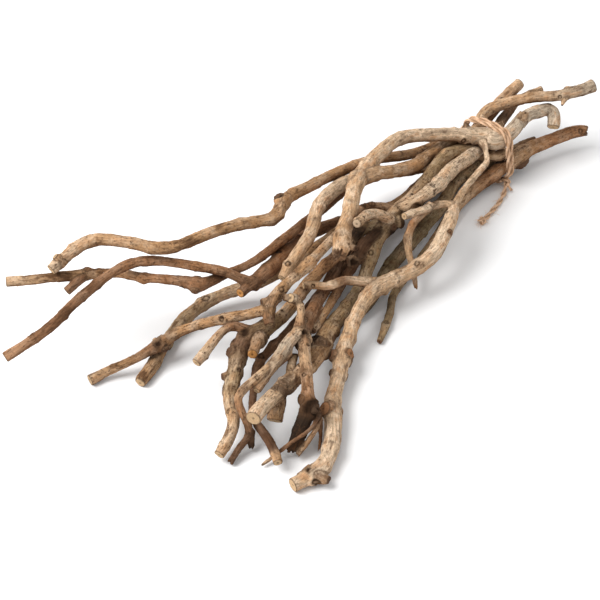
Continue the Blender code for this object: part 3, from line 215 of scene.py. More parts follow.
    "low_right_branch": (None, [
        (586, 131, 22, 10), (578, 131, 22, 13), (569, 133.5, 22, 14), (560, 136.5, 21.5, 14),
        (550, 140, 21, 14), (540, 143.5, 20.5, 14.5), (530, 148, 19.5, 15),
        (521, 154, 18.5, 15.5), (512, 161, 16.5, 15.5), (TIE, -17.5, 13, 14.5),
        (490, 179, 9.5, 14.2), (480, 184.8, 8.5, 14.2),
        (470, 191.5, 8, 13.8), (460, 201, 7.5, 12.5), (452, 213, 7, 11), (445, 225, 7, 10),
        (437, 237, 7, 9), (428, 249.5, 7, 8.5), (419, 261, 7, 8), (410, 272, 6.5, 8),
        (400, 285, 6, 7.5), (393, 297, 5.5, 7.3), (391, 308, 5, 7.2), (388, 318, 5, 7),
        (385, 328, 4.5, 6.8), (379.5, 342, 4, 5)]),
    "floor_branch": (None, [
        (535, 138.5, 14, 5), (527, 142.5, 14, 7.5), (517, 148.5, 13.5, 9.5),
        (507, 155, 13, 11), (TIE, -4.7, 12.3, 12),
        (477, 161, 14.5, 12.5), (466, 169, 15.5, 13), (456.5, 178, 16, 13),
        (449.5, 188, 16.5, 12.5), (444.5, 199, 17, 12.5), (436, 211, 17.5, 13),
        (429, 219, 17.5, 14),
        (421, 229, 17.5, 14), (411, 240, 17, 14), (402, 250, 16, 14), (394, 260, 15, 13.5),
        (386, 271, 13, 12.5), (379, 284, 11, 11.5), (373, 297, 9, 10.5), (364, 309, 8, 9.5),
        (352, 318, 7.5, 8.5)]),
    "left_middle_twig": (None, [
        (TIE, 26, 25, 9, 22), (TIE, 26, 25, 10), (453, 149, 31, 11), (440, 153, 34, 11.5),
        (425, 160, 38, 12), (408, 166, 42, 12), (390, 170, 47, 12), (372, 173, 52, 12.5),
        (356, 177, 57, 13), (345, 182, 60, 13.5), (335, 188, 62, 13.5), (327, 195, 63, 13.5),
        (320, 204, 63, 13), (316, 213.5, 62, 12.3), (314, 223, 61, 12), (311, 232, 59, 11.8),
        (306, 241.5, 57, 11.8), (299, 251.5, 54, 11.8), (293, 260.5, 51, 11.5),
        (288, 269, 48, 10.5), (282, 279, 44, 9)]),
    "far_left_twig": (None, [
        (TIE, 13, 28, 8, 26), (TIE, 13, 28, 9), (462, 154, 27, 9.5), (450, 156, 27, 9.5),
        (435, 160, 28, 9.5), (420, 166, 29, 9.5), (404, 170, 31, 9.5), (388, 172, 33, 9.5),
        (372, 174, 36, 9.5), (358, 179, 39, 9.5), (347, 187, 41, 9.5), (337, 196, 43, 9.5),
        (327, 205, 44, 9.5), (318, 212.5, 45, 9.5), (309, 220, 46, 9.3), (300, 227, 47, 9.3),
        (291, 235, 48, 9.2), (280, 244, 49, 9), (268, 253.5, 50, 8.5), (255, 262, 51, 8.2),
        (241, 268.5, 52, 7.5), (228, 273, 53, 7.8), (215, 279, 55, 9), (205, 283, 56, 11),
        (197, 284.5, 57, 12), (187, 281.5, 58, 9.5), (172, 279.8, 60, 8.7),
        (156, 278.5, 62, 8.3), (142, 277.5, 63, 8.5), (130, 275, 64, 7.6), (117, 273, 65, 7.5),
        (102, 273, 66, 8.2), (85, 274.5, 67, 8.8), (70, 275.8, 68, 8.8), (52, 277.5, 70, 8.3),
        (30, 280, 71, 8.6), (6, 281.8, 72, 8.6)]),
    "brown_branch": (None, [
        (TIE, 21.5, 13.8, 9, 26), (TIE, 21.5, 13.8, 10), (455, 162, 15, 11), (440, 170, 15.5, 11.5),
        (426, 180, 15, 11.5), (412, 193, 14, 11.5), (398, 204, 13.5, 11.5),
        (382, 210, 13.5, 11.5), (366, 214.5, 14, 11.5), (352, 218.5, 15, 11.5),
        (339, 222.5, 17, 11.5), (328, 226.5, 20, 11.8), (317, 231, 24, 12),
        (307, 236.5, 29, 12.5), (298, 243.5, 33, 13), (290, 251.5, 36, 13.5),
        (281, 260.5, 39, 14), (272, 269, 41, 14), (263, 276, 43, 13.5), (255, 282.5, 44, 11.5),
        (248, 288, 45, 9), (240.5, 294, 46, 8.5)]),
    "brown_branch_tip": ("brown_branch", [
        (252, 284, 45, 8.5), (241, 279.5, 51, 8.8), (229, 274.5, 58, 8.6),
        (215, 270.5, 64, 8.6), (200, 267.5, 68, 8.6), (185, 264.5, 71, 8.5), (170, 262, 73, 8.5),
        (156, 260.5, 75, 8.5), (143, 261, 77, 8.5), (130, 264, 78, 8.4), (119, 269, 78, 8.3),
        (109, 275, 76, 8.4), (99, 282.5, 73, 8.8), (88, 291.5, 70, 8.8), (77, 301, 67, 8.8),
        (67, 310.5, 64, 8.7), (59, 319, 62, 8.7), (50, 327, 59, 8.7), (39, 335.5, 56, 8.7),
        (27, 343.5, 53, 8.7), (16, 350.5, 51, 8.9), (5, 357.5, 48, 9)]),
    "tan_floor_twig": (None, [
        (TIE, 8.8, 15, 9, 24), (TIE, 8.8, 15, 9.5), (462, 165, 16, 10.5),
        (450, 170, 17, 10.5), (435, 178, 19, 10.5), (420, 190, 21, 10.5), (407, 202, 23, 10.5),
        (394, 209, 25, 10.5), (380, 213, 27, 10.5), (366, 217, 30, 10.5), (352, 222.5, 33, 10.5),
        (339, 231, 35, 10.5), (327, 239.5, 36, 10.5), (315, 247, 36, 10.5), (304, 254, 35, 10.5),
        (292, 262, 32, 10.5), (278, 270.5, 28, 10.5), (262, 279, 24, 10.8), (248, 284.5, 21, 11),
        (235, 289, 18, 11.2), (223, 293.5, 16, 11.2), (211, 299, 14, 11.3), (199, 306, 12, 11.6),
        (189, 314, 11, 12), (181, 322, 10, 12), (173, 332, 9, 10.5), (166, 342, 8.5, 10.5),
        (160, 352, 8, 11.5), (156, 361, 7, 12), (149, 371, 6, 11.5), (140.5, 383, 4.5, 9.5)]),
    "dark_twig": (None, [
        (TIE, -14.5, 28.5, 10, 10), (TIE, -14.5, 28.5, 11),
        (474, 156, 26, 10.5), (465, 160.5, 24, 9),
        (455, 165, 24, 9), (445, 174, 24, 9), (435, 183, 23, 9), (425, 192, 22, 9),
        (415, 200, 21, 9), (405, 207, 20, 9), (395, 215, 20, 9), (383, 226, 19, 9),
        (371, 238, 18.5, 9), (359, 250, 18, 9),
        (347, 262, 17, 8.8), (336, 274, 16, 8.6), (325, 287, 15.5, 8.4), (314, 301, 16, 8.2),
        (304, 313, 17, 8), (295, 323, 18.5, 7.8), (287, 332, 20, 7.6), (279, 341, 21.5, 7.5),
        (272, 348, 22, 7.5), (265, 355.5, 22, 7.6), (258.5, 363, 21.5, 7.6), (255.5, 372, 21, 7),
        (254, 382, 20.5, 6.8), (253, 392, 20, 6.6), (252, 402, 19, 6.5), (252.5, 413, 18, 6.8),
        (256, 423, 17, 7.4), (262, 431, 16, 8), (268, 439, 15, 8.2), (272.5, 448, 14, 8),
        (276, 456, 13, 7.8), (278, 463, 12.5, 7.4)]),
    "rootlet": ("forked_limb", [
        (311, 403, 31, 4.5), (316, 408, 27, 4.2), (319, 416, 23, 3.8), (321, 425, 18, 3.4),
        (322, 434, 13, 3.2), (321.5, 443, 8, 3), (320, 451, 4, 2)]),
    "rootlet_short": ("rootlet", [
        (320, 421, 20, 3.8), (316, 430, 17, 4), (310, 439, 14, 4), (304, 447, 11, 4),
        (297, 455, 7, 3.6)]),
    "rootlet_long": ("rootlet", [
        (319, 416, 23, 3.4), (314, 426, 25, 3.3), (307, 433, 25, 3.3), (299, 438, 22, 3.3),
        (291, 443.5, 16, 3.4), (284, 449, 10, 3.4), (277, 455, 6, 3.3), (270, 460, 4, 3.2),
        (264, 464.5, 3, 2.6)]),
}

# How readily a twig gives way to others: the outer ones hold their course
GIVE = {"arched_branch": 0.08, "long_bent_twig": 0.2, "arched_branch_fork": 0.3,
        "knotted_branch": 0.3, "knotted_branch_stem": 0.2, "front_branch": 0.15,
        "low_right_branch": 0.3, "hooked_limb": 0.3}

# Limbs whose route ends, instead of starts, at what they grow from
JOINED_AT_LAST = {"arched_branch_fork", "knotted_branch_stem"}

# Broken-off side shoots, fused to their twig: (twig, route)
STUBS = [
    ("arched_branch", [(470, 134, 54, 8), (463.5, 124.5, 61, 6)]),
    ("arched_branch", [(522, 120, 54, 10.5), (523, 114.8, 62.5, 10.5)]),
    ("long_bent_twig", [(568, 95.5, 69, 8), (562, 106.5, 63, 2.2)]),
    ("long_bent_twig", [(60, 262, 84, 9), (55, 256, 89, 5)]),
    ("slender_limb", [(272, 299, 57, 6.5), (261, 302, 58, 5)]),
    ("far_left_twig", [(84, 276, 67, 8.5), (74, 285, 64, 8), (66.5, 291.5, 60, 7.5)]),
    ("burl_limb", [(260, 336, 37, 10), (256, 346, 41, 9), (252.5, 354, 43, 8.5)]),
    ("burl_limb", [(234, 376, 28, 8), (222, 377, 30, 6)]),
    ("burl_limb", [(232, 389, 26, 8), (223, 390, 27, 5)]),
    ("burl_limb", [(347, 245, 42, 7), (356, 249, 47, 5)]),
    ("front_branch", [(316, 474, 9, 11), (329, 481, 8, 6)]),
    ("low_right_branch", [(512, 164, 14, 11), (519, 166, 10, 9), (526.5, 161.5, 9, 4.5)]),
    ("forked_limb", [(309, 405, 31, 9), (317, 411, 32, 6)]),
    ("looped_spur", [(294, 299, 58, 6), (284, 298, 58, 5)]),
    ("narrow_limb", [(356, 261, 33, 9), (349, 262, 35, 6)]),
    ("tan_floor_twig", [(163, 344, 9, 9), (154, 341, 16, 6)]),
]

# The free end's course from the knot: (ahead, aside, height left), in tail lengths
TAIL_LAY = [
    (-0.09, -0.055, 0.76), (-0.19, -0.11, 0.45), (-0.31, -0.155, 0.18), (-0.44, -0.19, 0.04),
    (-0.60, -0.22, 0.0), (-0.76, -0.25, 0.0), (-0.91, -0.27, 0.0)]


def sighting():
    """Return the station's eye and its forward, right and up directions."""
    sin_turn, cos_turn = math.sin(STATION_TURN), math.cos(STATION_TURN)
    level = np.array([sin_turn, cos_turn, 0.0])
    right = np.array([cos_turn, -sin_turn, 0.0])
    forward = level * math.cos(STATION_RISE) - np.array([0.0, 0.0, math.sin(STATION_RISE)])
    up = np.cross(right, forward)
    return -forward * STATION_DISTANCE, forward, right, up


EYE, FORWARD, RIGHT, UP = sighting()


def grid_ray(across, down):
    """Return the way from the eye to a grid point, one unit ahead."""
    return (FORWARD + RIGHT * (across - GRID_CENTRE) / GRID_DEPTH
            - UP * (down - GRID_CENTRE) / GRID_DEPTH)


def sighted(across, down, height):
    """Return the place seen at a grid point, at a height in metres."""
    ray = grid_ray(across, down)
    return EYE + ray * ((height - EYE[2]) / ray[2])


TIE_FOOT = sighted(*TIE_SIGHTED, 0.0)


def run_length(places):
    """Return the distance along a line at each of its points."""
    return np.concatenate([[0.0], np.cumsum(np.linalg.norm(np.diff(places, axis=0), axis=1))])


def at_marks(places, length, marks):
    """Return the places at the given marks along a line, from its points' lengths."""
    return np.stack([np.interp(marks, length, column) for column in places.T], axis=1)


def route_point(entry):
    """Return a route point's place and its wood's radius, in metres."""
    if entry[0] == TIE:
        beyond = entry[4] if len(entry) > 4 else 0.0
        place = TIE_FOOT + np.array([beyond, entry[1], entry[2]]) * MM
        return place, entry[3] * MM / 2
    across, down, height, thickness = entry
    return sighted(across, down, height * MM), thickness * MM / 2


def route_points(entries):
    """Return the places and radii of all of a route's points."""
    placed = [route_point(entry) for entry in entries]
    return np.array([place for place, _ in placed]), np.array([radius for _, radius in placed])


def smooth_route(entries, step=STEP):
    """Return evenly spaced places and radii on a smooth curve through the route."""
    knots, radii = route_points(entries)
    first = 2 * knots[0] - knots[1]
    last = 2 * knots[-1] - knots[-2]
    knots = np.vstack([first, knots, last])
    dense, dense_radii = [], []
    for index in range(1, len(knots) - 2):
        before, start, end, after = knots[index - 1:index + 3]
        for t in np.arange(0.0, 1.0, 0.1):
            bend = (2 * start + (end - before) * t
                    + (2 * before - 5 * start + 4 * end - after) * t ** 2
                    + (3 * start - before - 3 * end + after) * t ** 3)
            dense.append(bend / 2)
            dense_radii.append(radii[index - 1] * (1 - t) + radii[index] * t)
    dense.append(knots[-2])
    dense_radii.append(radii[-1])
    dense = np.array(dense)
    length = run_length(dense)
    count = max(3, int(round(length[-1] / step)) + 1)
    marks = np.linspace(0.0, length[-1], count)
    return at_marks(dense, length, marks), np.interp(marks, length, dense_radii)


class Bundle:
    """All the twigs' stations, which settle against each other and the surface."""

    def __init__(self):
        places, radii, owner = [], [], []
        self.spans = {}
        for number, (name, (_, route)) in enumerate(TWIGS.items()):
            curve, thick = smooth_route(route)
            if name in JOINED_AT_LAST:
                curve, thick = curve[::-1], thick[::-1]
            start = sum(len(part) for part in places)
            self.spans[name] = (start, start + len(curve))
            places.append(curve)
            radii.append(thick)
            owner.extend([number] * len(curve))
        self.home = np.vstack(places)
        self.places = self.home.copy()
        self.radii = np.concatenate(radii)
        self.owner = np.array(owner)
        self.give = np.array([GIVE.get(name, 1.0) for name in TWIGS])[self.owner]
        self.link_limbs()
        self.mark_joints()

    def link_limbs(self):
        """Note the station of the parent that each limb grows from."""
        self.joints = []
        self.roots = {}
        for name, (parent, _) in TWIGS.items():
            if parent is None:
                continue
            start = self.spans[name][0]
            low, high = self.spans[parent]
            distance = np.linalg.norm(self.home[low:high] - self.home[start], axis=1)
            self.roots[name] = low + int(distance.argmin())
            self.joints.append((name, start, self.roots[name]))

    def mark_joints(self):
        """Mark the stations near a limb's foot, which may run into its parent."""
        self.free = np.ones((len(self.home), len(self.home)), dtype=bool)
        for _, start, root in self.joints:
            reach = 2.6 * self.radii[root] + 1.6 * self.radii[start]
            near = np.linalg.norm(self.home - self.home[start], axis=1) < reach
            self.free[np.ix_(near, near)] = False

    def neighbours(self, reach):
        """Return pairs of a station and a segment of another twig that lie close."""
        same_twig = self.owner[:-1] == self.owner[1:]
        heads = np.nonzero(same_twig)[0]
        gap = np.linalg.norm(self.places[:, None] - self.places[None, heads], axis=2)
        close = gap < reach + self.radii[:, None] + self.radii[None, heads]
        close &= self.owner[:, None] != self.owner[None, heads]
        close &= self.free[:, heads]
        stations, columns = np.nonzero(close)
        return stations, heads[columns]

    def part(self, stations, heads, strength):
        """Push overlapping twigs apart and return the deepest overlap."""
        start, end = self.places[heads], self.places[heads + 1]
        along = end - start
        share = np.einsum("ij,ij->i", self.places[stations] - start, along)
        share = np.clip(share / np.einsum("ij,ij->i", along, along), 0.0, 1.0)
        apart = self.places[stations] - (start + along * share[:, None])
        gap = np.linalg.norm(apart, axis=1)
        thick = self.radii[stations] + self.radii[heads] * (1 - share)
        thick = thick + self.radii[heads + 1] * share
        overlap = thick + CLEARANCE - gap
        touching = overlap > 0
        if not touching.any():
            return 0.0
        stations, heads = stations[touching], heads[touching]
        push = apart[touching] / np.maximum(gap[touching], 1e-6)[:, None]
        push = push * (overlap[touching] * strength)[:, None]
        yields = self.give[stations] / (self.give[stations] + self.give[heads])
        share = share[touching][:, None]
        away = push * yields[:, None]
        back = away - push
        moved = np.zeros_like(self.places)
        weight = np.zeros(len(self.places))
        largest = np.zeros(len(self.places))
        for index, part in ((stations, away), (heads, back * (1 - share)),
                            (heads + 1, back * share)):
            size = np.linalg.norm(part, axis=1)
            np.add.at(moved, index, part)
            np.add.at(weight, index, size)
            np.maximum.at(largest, index, size)
        scale = np.minimum(1.0, largest / np.maximum(weight, 1e-9))
        self.places += moved * (0.35 + 0.65 * scale[:, None])
        return float(overlap[touching].max())

    def even_out(self, amount):
        """Spread each twig's shift along it, so that its own bends keep their shape."""
        shift = self.places - self.home
        for start, end in self.spans.values():
            part = shift[start:end]
            middle = (part[:-2] + part[2:]) / 2
            part[1:-1] += (middle - part[1:-1]) * amount
            part[0] += (part[1] - part[0]) * amount
            part[-1] += (part[-2] - part[-1]) * amount
        for _, start, root in self.joints:
            shift[start] += (shift[root] - shift[start]) * 0.8
        self.places = self.home + shift * RECALL

    def settle(self):
        """Part the twigs, keeping them above the surface."""
        beside = np.clip(np.abs(self.home[:, 0] - TIE_FOOT[0]) / MM - 8.0, 0.0, None)
        lift = (TWINE_DIAMETER + TWINE_SLACK + TOUCH) * np.exp(-(beside / 18.0) ** 2)
        floor = self.radii + TOUCH + lift
        for turn in range(SETTLE_ROUNDS + FINAL_ROUNDS):
            if turn % 20 == 0:
                stations, heads = self.neighbours(0.012)
            deepest = self.part(stations, heads, 0.8)
            final = turn >= SETTLE_ROUNDS
            self.even_out(0.12 if final else 0.5)
            self.places[:, 2] = np.maximum(self.places[:, 2], floor)
        return deepest

    def size_up(self, length):
        """Scale everything so that the bundle has its length along X."""
        ends = self.places[:, 0]
        self.growth = length / (ends.max() - ends.min())
        self.unmoved = self.home
        self.places = self.places * self.growth
        self.radii = self.radii * self.growth
        self.twine_plane = TIE_FOOT[0] * self.growth

    def twig(self, name):
        """Return one twig's places and radii."""
        start, end = self.spans[name]
        return self.places[start:end], self.radii[start:end]


def hull_loop(points):
    """Return the convex outline of 2D points, anticlockwise."""
    ordered = sorted(map(tuple, points))
    halves = []
    for run in (ordered, ordered[::-1]):
        half = []
        for point in run:
            while len(half) > 1:
                (ax, ay), (bx, by) = half[-2], half[-1]
                if (bx - ax) * (point[1] - ay) - (by - ay) * (point[0] - ax) > 0:
                    break
                half.pop()
            half.append(point)
        halves.append(half[:-1])
    return np.array(halves[0] + halves[1])


def twine_outline(bundle, offset):
    """Return the line that taut twine takes around the twigs, in the twine's plane."""
    angles = np.radians(np.arange(0, 360, 10))
    half_width = TWINE_TURNS * (TWINE_DIAMETER + TWINE_GAP) / 2 + TWINE_DIAMETER / 2
    circles = []
    for start, end in bundle.spans.values():
        for index in range(start, end - 1):
            for share in (0.0, 0.25, 0.5, 0.75):
                place = bundle.places[index] * (1 - share) + bundle.places[index + 1] * share
                radius = bundle.radii[index] * (1 - share) + bundle.radii[index + 1] * share
                beside = max(0.0, abs(place[0] - bundle.twine_plane) - half_width)
                if beside >= radius:
                    continue
                reach = math.sqrt(radius ** 2 - beside ** 2) + offset
                circles += [(place[1] + reach * math.cos(a), place[2] + reach * math.sin(a))
                            for a in angles]
    return hull_loop(circles)


def even_loop(outline, count):
    """Return evenly spaced points on a closed outline, from its lowest point at the front."""
    closed = np.vstack([outline, outline[:1]])
    length = run_length(closed)
    marks = np.linspace(0.0, length[-1], count + 1)[:-1]
    loop = at_marks(closed, length, marks)
    middle = loop.mean(axis=0)
    spoke = loop - middle
    turn = np.arctan2(spoke[:, 1], spoke[:, 0]) - KNOT_ANGLE
    first = int(np.abs((turn + math.pi) % (2 * math.pi) - math.pi).argmin())
    return np.roll(loop, -first, axis=0)


def twine_turns(bundle):
    """Return the places along the twine's turns around the bundle."""
    outline = twine_outline(bundle, TWINE_DIAMETER / 2 + TWINE_SLACK)
    loop = even_loop(outline, TWINE_STATIONS)
    count = TWINE_TURNS * TWINE_STATIONS
    pitch = TWINE_DIAMETER + TWINE_GAP
    places = []
    for index in range(count + 1):
        across, height = loop[index % TWINE_STATIONS]
        lead = (index / count - 0.5) * TWINE_TURNS * pitch
        places.append((bundle.twine_plane + lead, across, height))
    return np.array(places)


def tail_route(knot):
    """Return the places along the twine's free end, from the knot to the surface."""
    lay = TWINE_DIAMETER / 2 + TOUCH
    leave = np.array([-0.82, -0.57, 0.0])
    start = knot + leave * (KNOT_SIZE * 0.52 + TOUCH)
    route = [start]
    for ahead, aside, height in TAIL_LAY:
        place = start + np.array([ahead, aside, 0.0]) * TAIL_LENGTH
        place[2] = lay + (start[2] - lay) * height
        route.append(place)
    return np.array(route)


# Middle lines and skins of the branches
FINE_STEP = 0.0015
SKIN_VOXEL = 0.00092
COARSE_VOXEL = 0.00108
MANY_LIMBS = 20
BLEND = 0.0011
EDGE_ROUND = 0.0005
SURFACE_GAP = 0.0002
MEASURED_AT_ONCE = 8000

# Buds along a twig: the twig kinks and swells at each
KINK = 0.13
FIRST_BUD = (0.008, 0.022)
BUD_SPACING = (0.012, 0.038)
BUDLESS_END = 0.007
BETWEEN_BUDS = 0.985
BUD_SWELL = 0.085
BUD_LENGTH = 0.0036
SCAR_KINDS = ("bud", "bump", "bud", "bump", "eye", "bump", "bud", "ring")
SCARLESS = 0.62

# A limb widens where it leaves its parent, and painted shade darkens it below and beside other branches
FLARE = 0.34
SLIGHT_FLARES = {"front_branch": 0.1}
CROWD_REACH = 0.006
CROWD_SHADE = np.array([0.54, 0.62, 0.68])
UNDER_SHADE = np.array([0.7, 0.82, 0.9])
LIMB_SHIFT = 3.1
SPLINTER_DEPTH = 0.0034
RING_SPACING = 0.00013
BARK_SPECULAR = 0.1

# Bark and wood colours
PALE = np.array([0.70, 0.51, 0.34])
GREY = np.array([0.49, 0.39, 0.285])
TAN = np.array([0.57, 0.37, 0.215])
HONEY = np.array([0.43, 0.245, 0.12])
BROWN = np.array([0.235, 0.118, 0.06])
OLIVE = np.array([0.35, 0.235, 0.125])
MOSS = np.array([0.19, 0.135, 0.07])
DARK = np.array([0.145, 0.075, 0.042])
BLACK = np.array([0.035, 0.021, 0.013])
RUST = np.array([0.36, 0.175, 0.082])
CUT_WOOD = np.array([0.68, 0.46, 0.265])
CUT_ORANGE = np.array([0.66, 0.31, 0.10])
BURNT = np.array([0.24, 0.115, 0.06])

# Colours that weathering, dirt and the saw lay over the wood, with painted highlight in the bleaching
# colour and painted shade in the darkest stain
# Colour of weathered wood, lightened to serve as a painted highlight as well
BLEACH_AND_HIGHLIGHT = (0.84, 0.655, 0.475)
RUST_STAIN = (0.48, 0.235, 0.10)
GRIME = (0.12, 0.056, 0.026)
SPECK = (0.10, 0.05, 0.026)
# Dark of the stains, also used for painted shade
STAIN_AND_SHADE_DARK = (0.036, 0.018, 0.009)
BARK_RIM = (0.10, 0.06, 0.035)
BARK_LIP = (0.10, 0.058, 0.034)

# Colours along each twig, from its first station to its last
TONES = {
    "long_bent_twig": [GREY, HONEY, TAN, HONEY, HONEY, HONEY, HONEY, HONEY, HONEY, TAN],
    "arched_branch": [GREY, GREY, PALE, PALE, TAN, TAN, HONEY],
    "arched_branch_fork": [TAN, HONEY, HONEY, HONEY, RUST, TAN],
    # The knotted branch's DARK near the tie is partly a dark knot and partly painted shade beneath the
    # arched branch
    "knotted_branch": [TAN, DARK, OLIVE, OLIVE, OLIVE, TAN, OLIVE, OLIVE, OLIVE, HONEY, TAN, PALE],
    "knotted_branch_stem": [TAN, PALE, PALE, PALE, GREY],
    "hooked_limb": [TAN, PALE, TAN],
    "slender_limb": [HONEY, RUST, RUST, TAN, TAN, HONEY, HONEY, BROWN],
    "low_left_limb": [HONEY, HONEY, HONEY, HONEY, BROWN, HONEY, TAN],
    "burl_limb": [OLIVE, OLIVE, RUST, HONEY, HONEY, OLIVE, DARK, OLIVE, TAN, TAN],
    "burl_side_twig": [BROWN, BROWN, TAN, PALE],
    "forked_limb": [BLACK, DARK, BROWN, BROWN, RUST, BROWN, TAN, RUST, BLACK, BLACK],
    "forked_limb_left": [RUST, TAN, GREY, TAN, TAN],
    "looped_spur": [RUST, TAN, PALE],
    "crooked_spur": [TAN, TAN, TAN, RUST, BROWN, BLACK],
    "crooked_spur_tip": [DARK, DARK, DARK],
    "narrow_limb": [BLACK, DARK, BROWN, HONEY, TAN],
    "round_stub": [TAN, HONEY],
    "upright_stub": [TAN, OLIVE],
    "front_branch": [PALE, PALE, TAN, PALE, TAN, TAN, TAN, TAN, PALE, TAN],
    "front_branch_fork": [TAN, TAN, BROWN, TAN, TAN],
    "pale_spur": [TAN, PALE, PALE],
    "hanging_spur": [TAN, RUST, TAN, TAN, BROWN],
    "low_right_branch": [RUST, RUST, HONEY, RUST, TAN, TAN, OLIVE, OLIVE, MOSS, OLIVE],
    # The floor branch's MOSS on its far half is partly dark bark and partly painted shade from the branches
    # over it
    "floor_branch": [DARK, OLIVE, OLIVE, OLIVE, MOSS, MOSS, MOSS, MOSS],
    "left_middle_twig": [BROWN, TAN, TAN, PALE, PALE, TAN, TAN],
    "far_left_twig": [TAN, HONEY, RUST, BROWN, BROWN, RUST, BROWN, RUST, HONEY, TAN],
    "brown_branch": [BROWN, BROWN, BROWN, BROWN, RUST, BROWN],
    "brown_branch_tip": [BROWN, RUST, RUST, BROWN, BROWN, RUST],
    "tan_floor_twig": [TAN, HONEY, HONEY, HONEY, HONEY, TAN, OLIVE, HONEY],
    "dark_twig": [TAN, OLIVE, OLIVE, BROWN, DARK, BROWN, DARK, DARK],
    "rootlet": [BROWN, BROWN, RUST],
    "rootlet_short": [RUST, TAN],
    "rootlet_long": [DARK, BROWN, RUST],
}

# Last stretches where the bark has peeled off: twig: (length in mm, colour)
PEELED = {"dark_twig": (9, HONEY), "rootlet_long": (9, TAN), "long_bent_twig": (9, PALE)}

# Scars where side shoots grew, on each twig: (across, down, radius in mm, kind)
SCARS = {
    "arched_branch": [
        (463, 140, 3.6, "ring"), (387, 142, 1.8, "bud"), (348, 208, 1.8, "bud"),
        (420, 130, 1.6, "bud"), (348, 246, 3.0, "ring"), (338, 236, 3.0, "bump"),
        (492, 137, 7.0, "bump"), (546, 112, 3.0, "bump")],
    "long_bent_twig": [
        (280, 198, 4.4, "ring"), (273, 224, 3.8, "bump"), (342, 171, 3.4, "bump"),
        (150, 252, 3.0, "bump"), (163, 244, 2.4, "bump"), (560, 97, 2.5, "ring")],
    "knotted_branch_stem": [(432, 187, 3.8, "ring"), (433, 193, 2.8, "ring")],
    "knotted_branch": [
        (447, 152, 4.0, "bump"), (400, 212, 5.0, "hollow"), (396, 220, 4.5, "bump"),
        (368, 244, 4.0, "bump"), (371, 253, 3.5, "ring"), (330, 345, 3.4, "bump"),
        (318, 343, 4.6, "hollow"), (300, 369, 2.8, "ring")],
    "left_middle_twig": [(288, 264, 3.4, "ring"), (326, 202, 2.0, "bud"), (309, 236, 2.0, "bud")],
    "far_left_twig": [(197, 286, 4.6, "bump"), (142, 281, 2.8, "bump")],
    "brown_branch": [(279, 254, 3.8, "eye"), (283, 246, 3.2, "eye"), (256, 280, 3.2, "bump")],
    "brown_branch_tip": [(148, 262, 2.4, "bump")],
    "low_left_limb": [
        (222, 319, 3.2, "ring"), (166, 339, 3.4, "bump"), (158, 344, 4.2, "hollow"),
        (153, 348, 2.8, "bump")],
    "slender_limb": [
        (312, 261, 4.0, "bump"), (281, 290, 3.6, "ring"), (293, 277, 2.8, "bump"),
        (268, 319, 2.8, "bump")],
    "burl_limb": [
        (258, 339, 4.6, "hollow"), (264, 344, 4.6, "bump"), (245, 334, 5.4, "hollow"),
        (234, 350, 3.4, "bump"), (327, 262, 3.0, "bump"), (241, 357, 5.0, "bump"),
        (238, 371, 3.0, "ring"), (232, 401, 3.4, "bump"), (234, 415, 2.8, "bump"),
        (270, 325, 3.2, "bump")],
    "tan_floor_twig": [(141, 376, 3.4, "bump"), (206, 299, 3.4, "eye"), (181, 325, 3.4, "bump")],
    "front_branch": [
        (348, 353, 2.2, "hollow"), (327, 409, 2.8, "hollow"), (333, 404, 3.4, "bump"),
        (308, 472, 3.0, "bud"), (315, 481, 4.0, "ring"), (328, 470, 3.4, "bump"),
        (331, 438, 1.8, "bud"), (430, 256, 3.4, "bump"), (452, 222, 2.8, "bump"),
        (417, 264, 2.8, "eye"), (320, 461, 1.8, "bud")],
    "front_branch_fork": [(332, 284, 3.2, "bump"), (313, 286, 2.4, "ring")],
    "forked_limb": [
        (303, 336, 4.4, "hollow"), (312, 405, 4.4, "hollow"), (308, 410, 4.8, "hollow"),
        (302, 398, 2.8, "bump"), (304, 375, 2.4, "ring")],
    "forked_limb_left": [(293, 337, 2.8, "bump")],
    "looped_spur": [(301, 309, 1.8, "bump")],
    "crooked_spur": [(257, 378, 2.8, "ring"), (243, 391, 2.4, "bump")],
    "low_right_branch": [(386, 323, 3.0, "ring"), (410, 262, 3.0, "bump"), (580, 131, 3.4, "ring")],
    "floor_branch": [(392, 262, 4.2, "bump"), (384, 272, 3.2, "bump")],
    "dark_twig": [(272, 343, 3.8, "bump"), (261, 357, 3.6, "ring"), (263, 366, 3.0, "bump")],
    "narrow_limb": [(353, 262, 3.8, "hollow")],
    "hooked_limb": [(357, 220, 2.8, "bump")],
    "hanging_spur": [(404, 238, 3.0, "bump")],
    "pale_spur": [(430, 209, 2.6, "bump")],
    "arched_branch_fork": [(390, 168, 2.4, "bump"), (436, 156, 2.8, "bump")],
    "burl_side_twig": [(232, 327, 2.4, "bump")],
}

# Knobs that stand proud of the bark: (twig, across, down, stand-off and radius in mm, colour)
KNOBS = [
    ("front_branch", 332, 355, 1.8, 4.8, BURNT), ("front_branch", 348, 353, 1.6, 4.4, RUST),
    ("front_branch", 327, 409, 2.2, 6.0, RUST), ("front_branch", 331, 372, 0.8, 2.7, DARK),
    ("burl_limb", 231, 352, 1.4, 3.6, DARK), ("forked_limb", 298, 337, 0.8, 3.4, BROWN),
    ("knotted_branch", 318, 343, 2.0, 6.6, BLACK), ("long_bent_twig", 279, 197, 0.9, 3.2, DARK),
    ("low_left_limb", 166, 350, 1.0, 2.8, DARK), ("far_left_twig", 195, 290, 0.8, 2.6, BROWN),
    ("brown_branch", 292, 258, 0.8, 2.8, BROWN), ("front_branch", 449, 232, 0.8, 2.8, BROWN),
    ("knotted_branch", 392, 226, 1.0, 2.8, DARK), ("knotted_branch", 398, 221, 1.6, 3.4, DARK),
    ("knotted_branch", 403, 214, 1.0, 2.8, BROWN), ("knotted_branch", 389, 220, 0.8, 2.4, RUST),
]

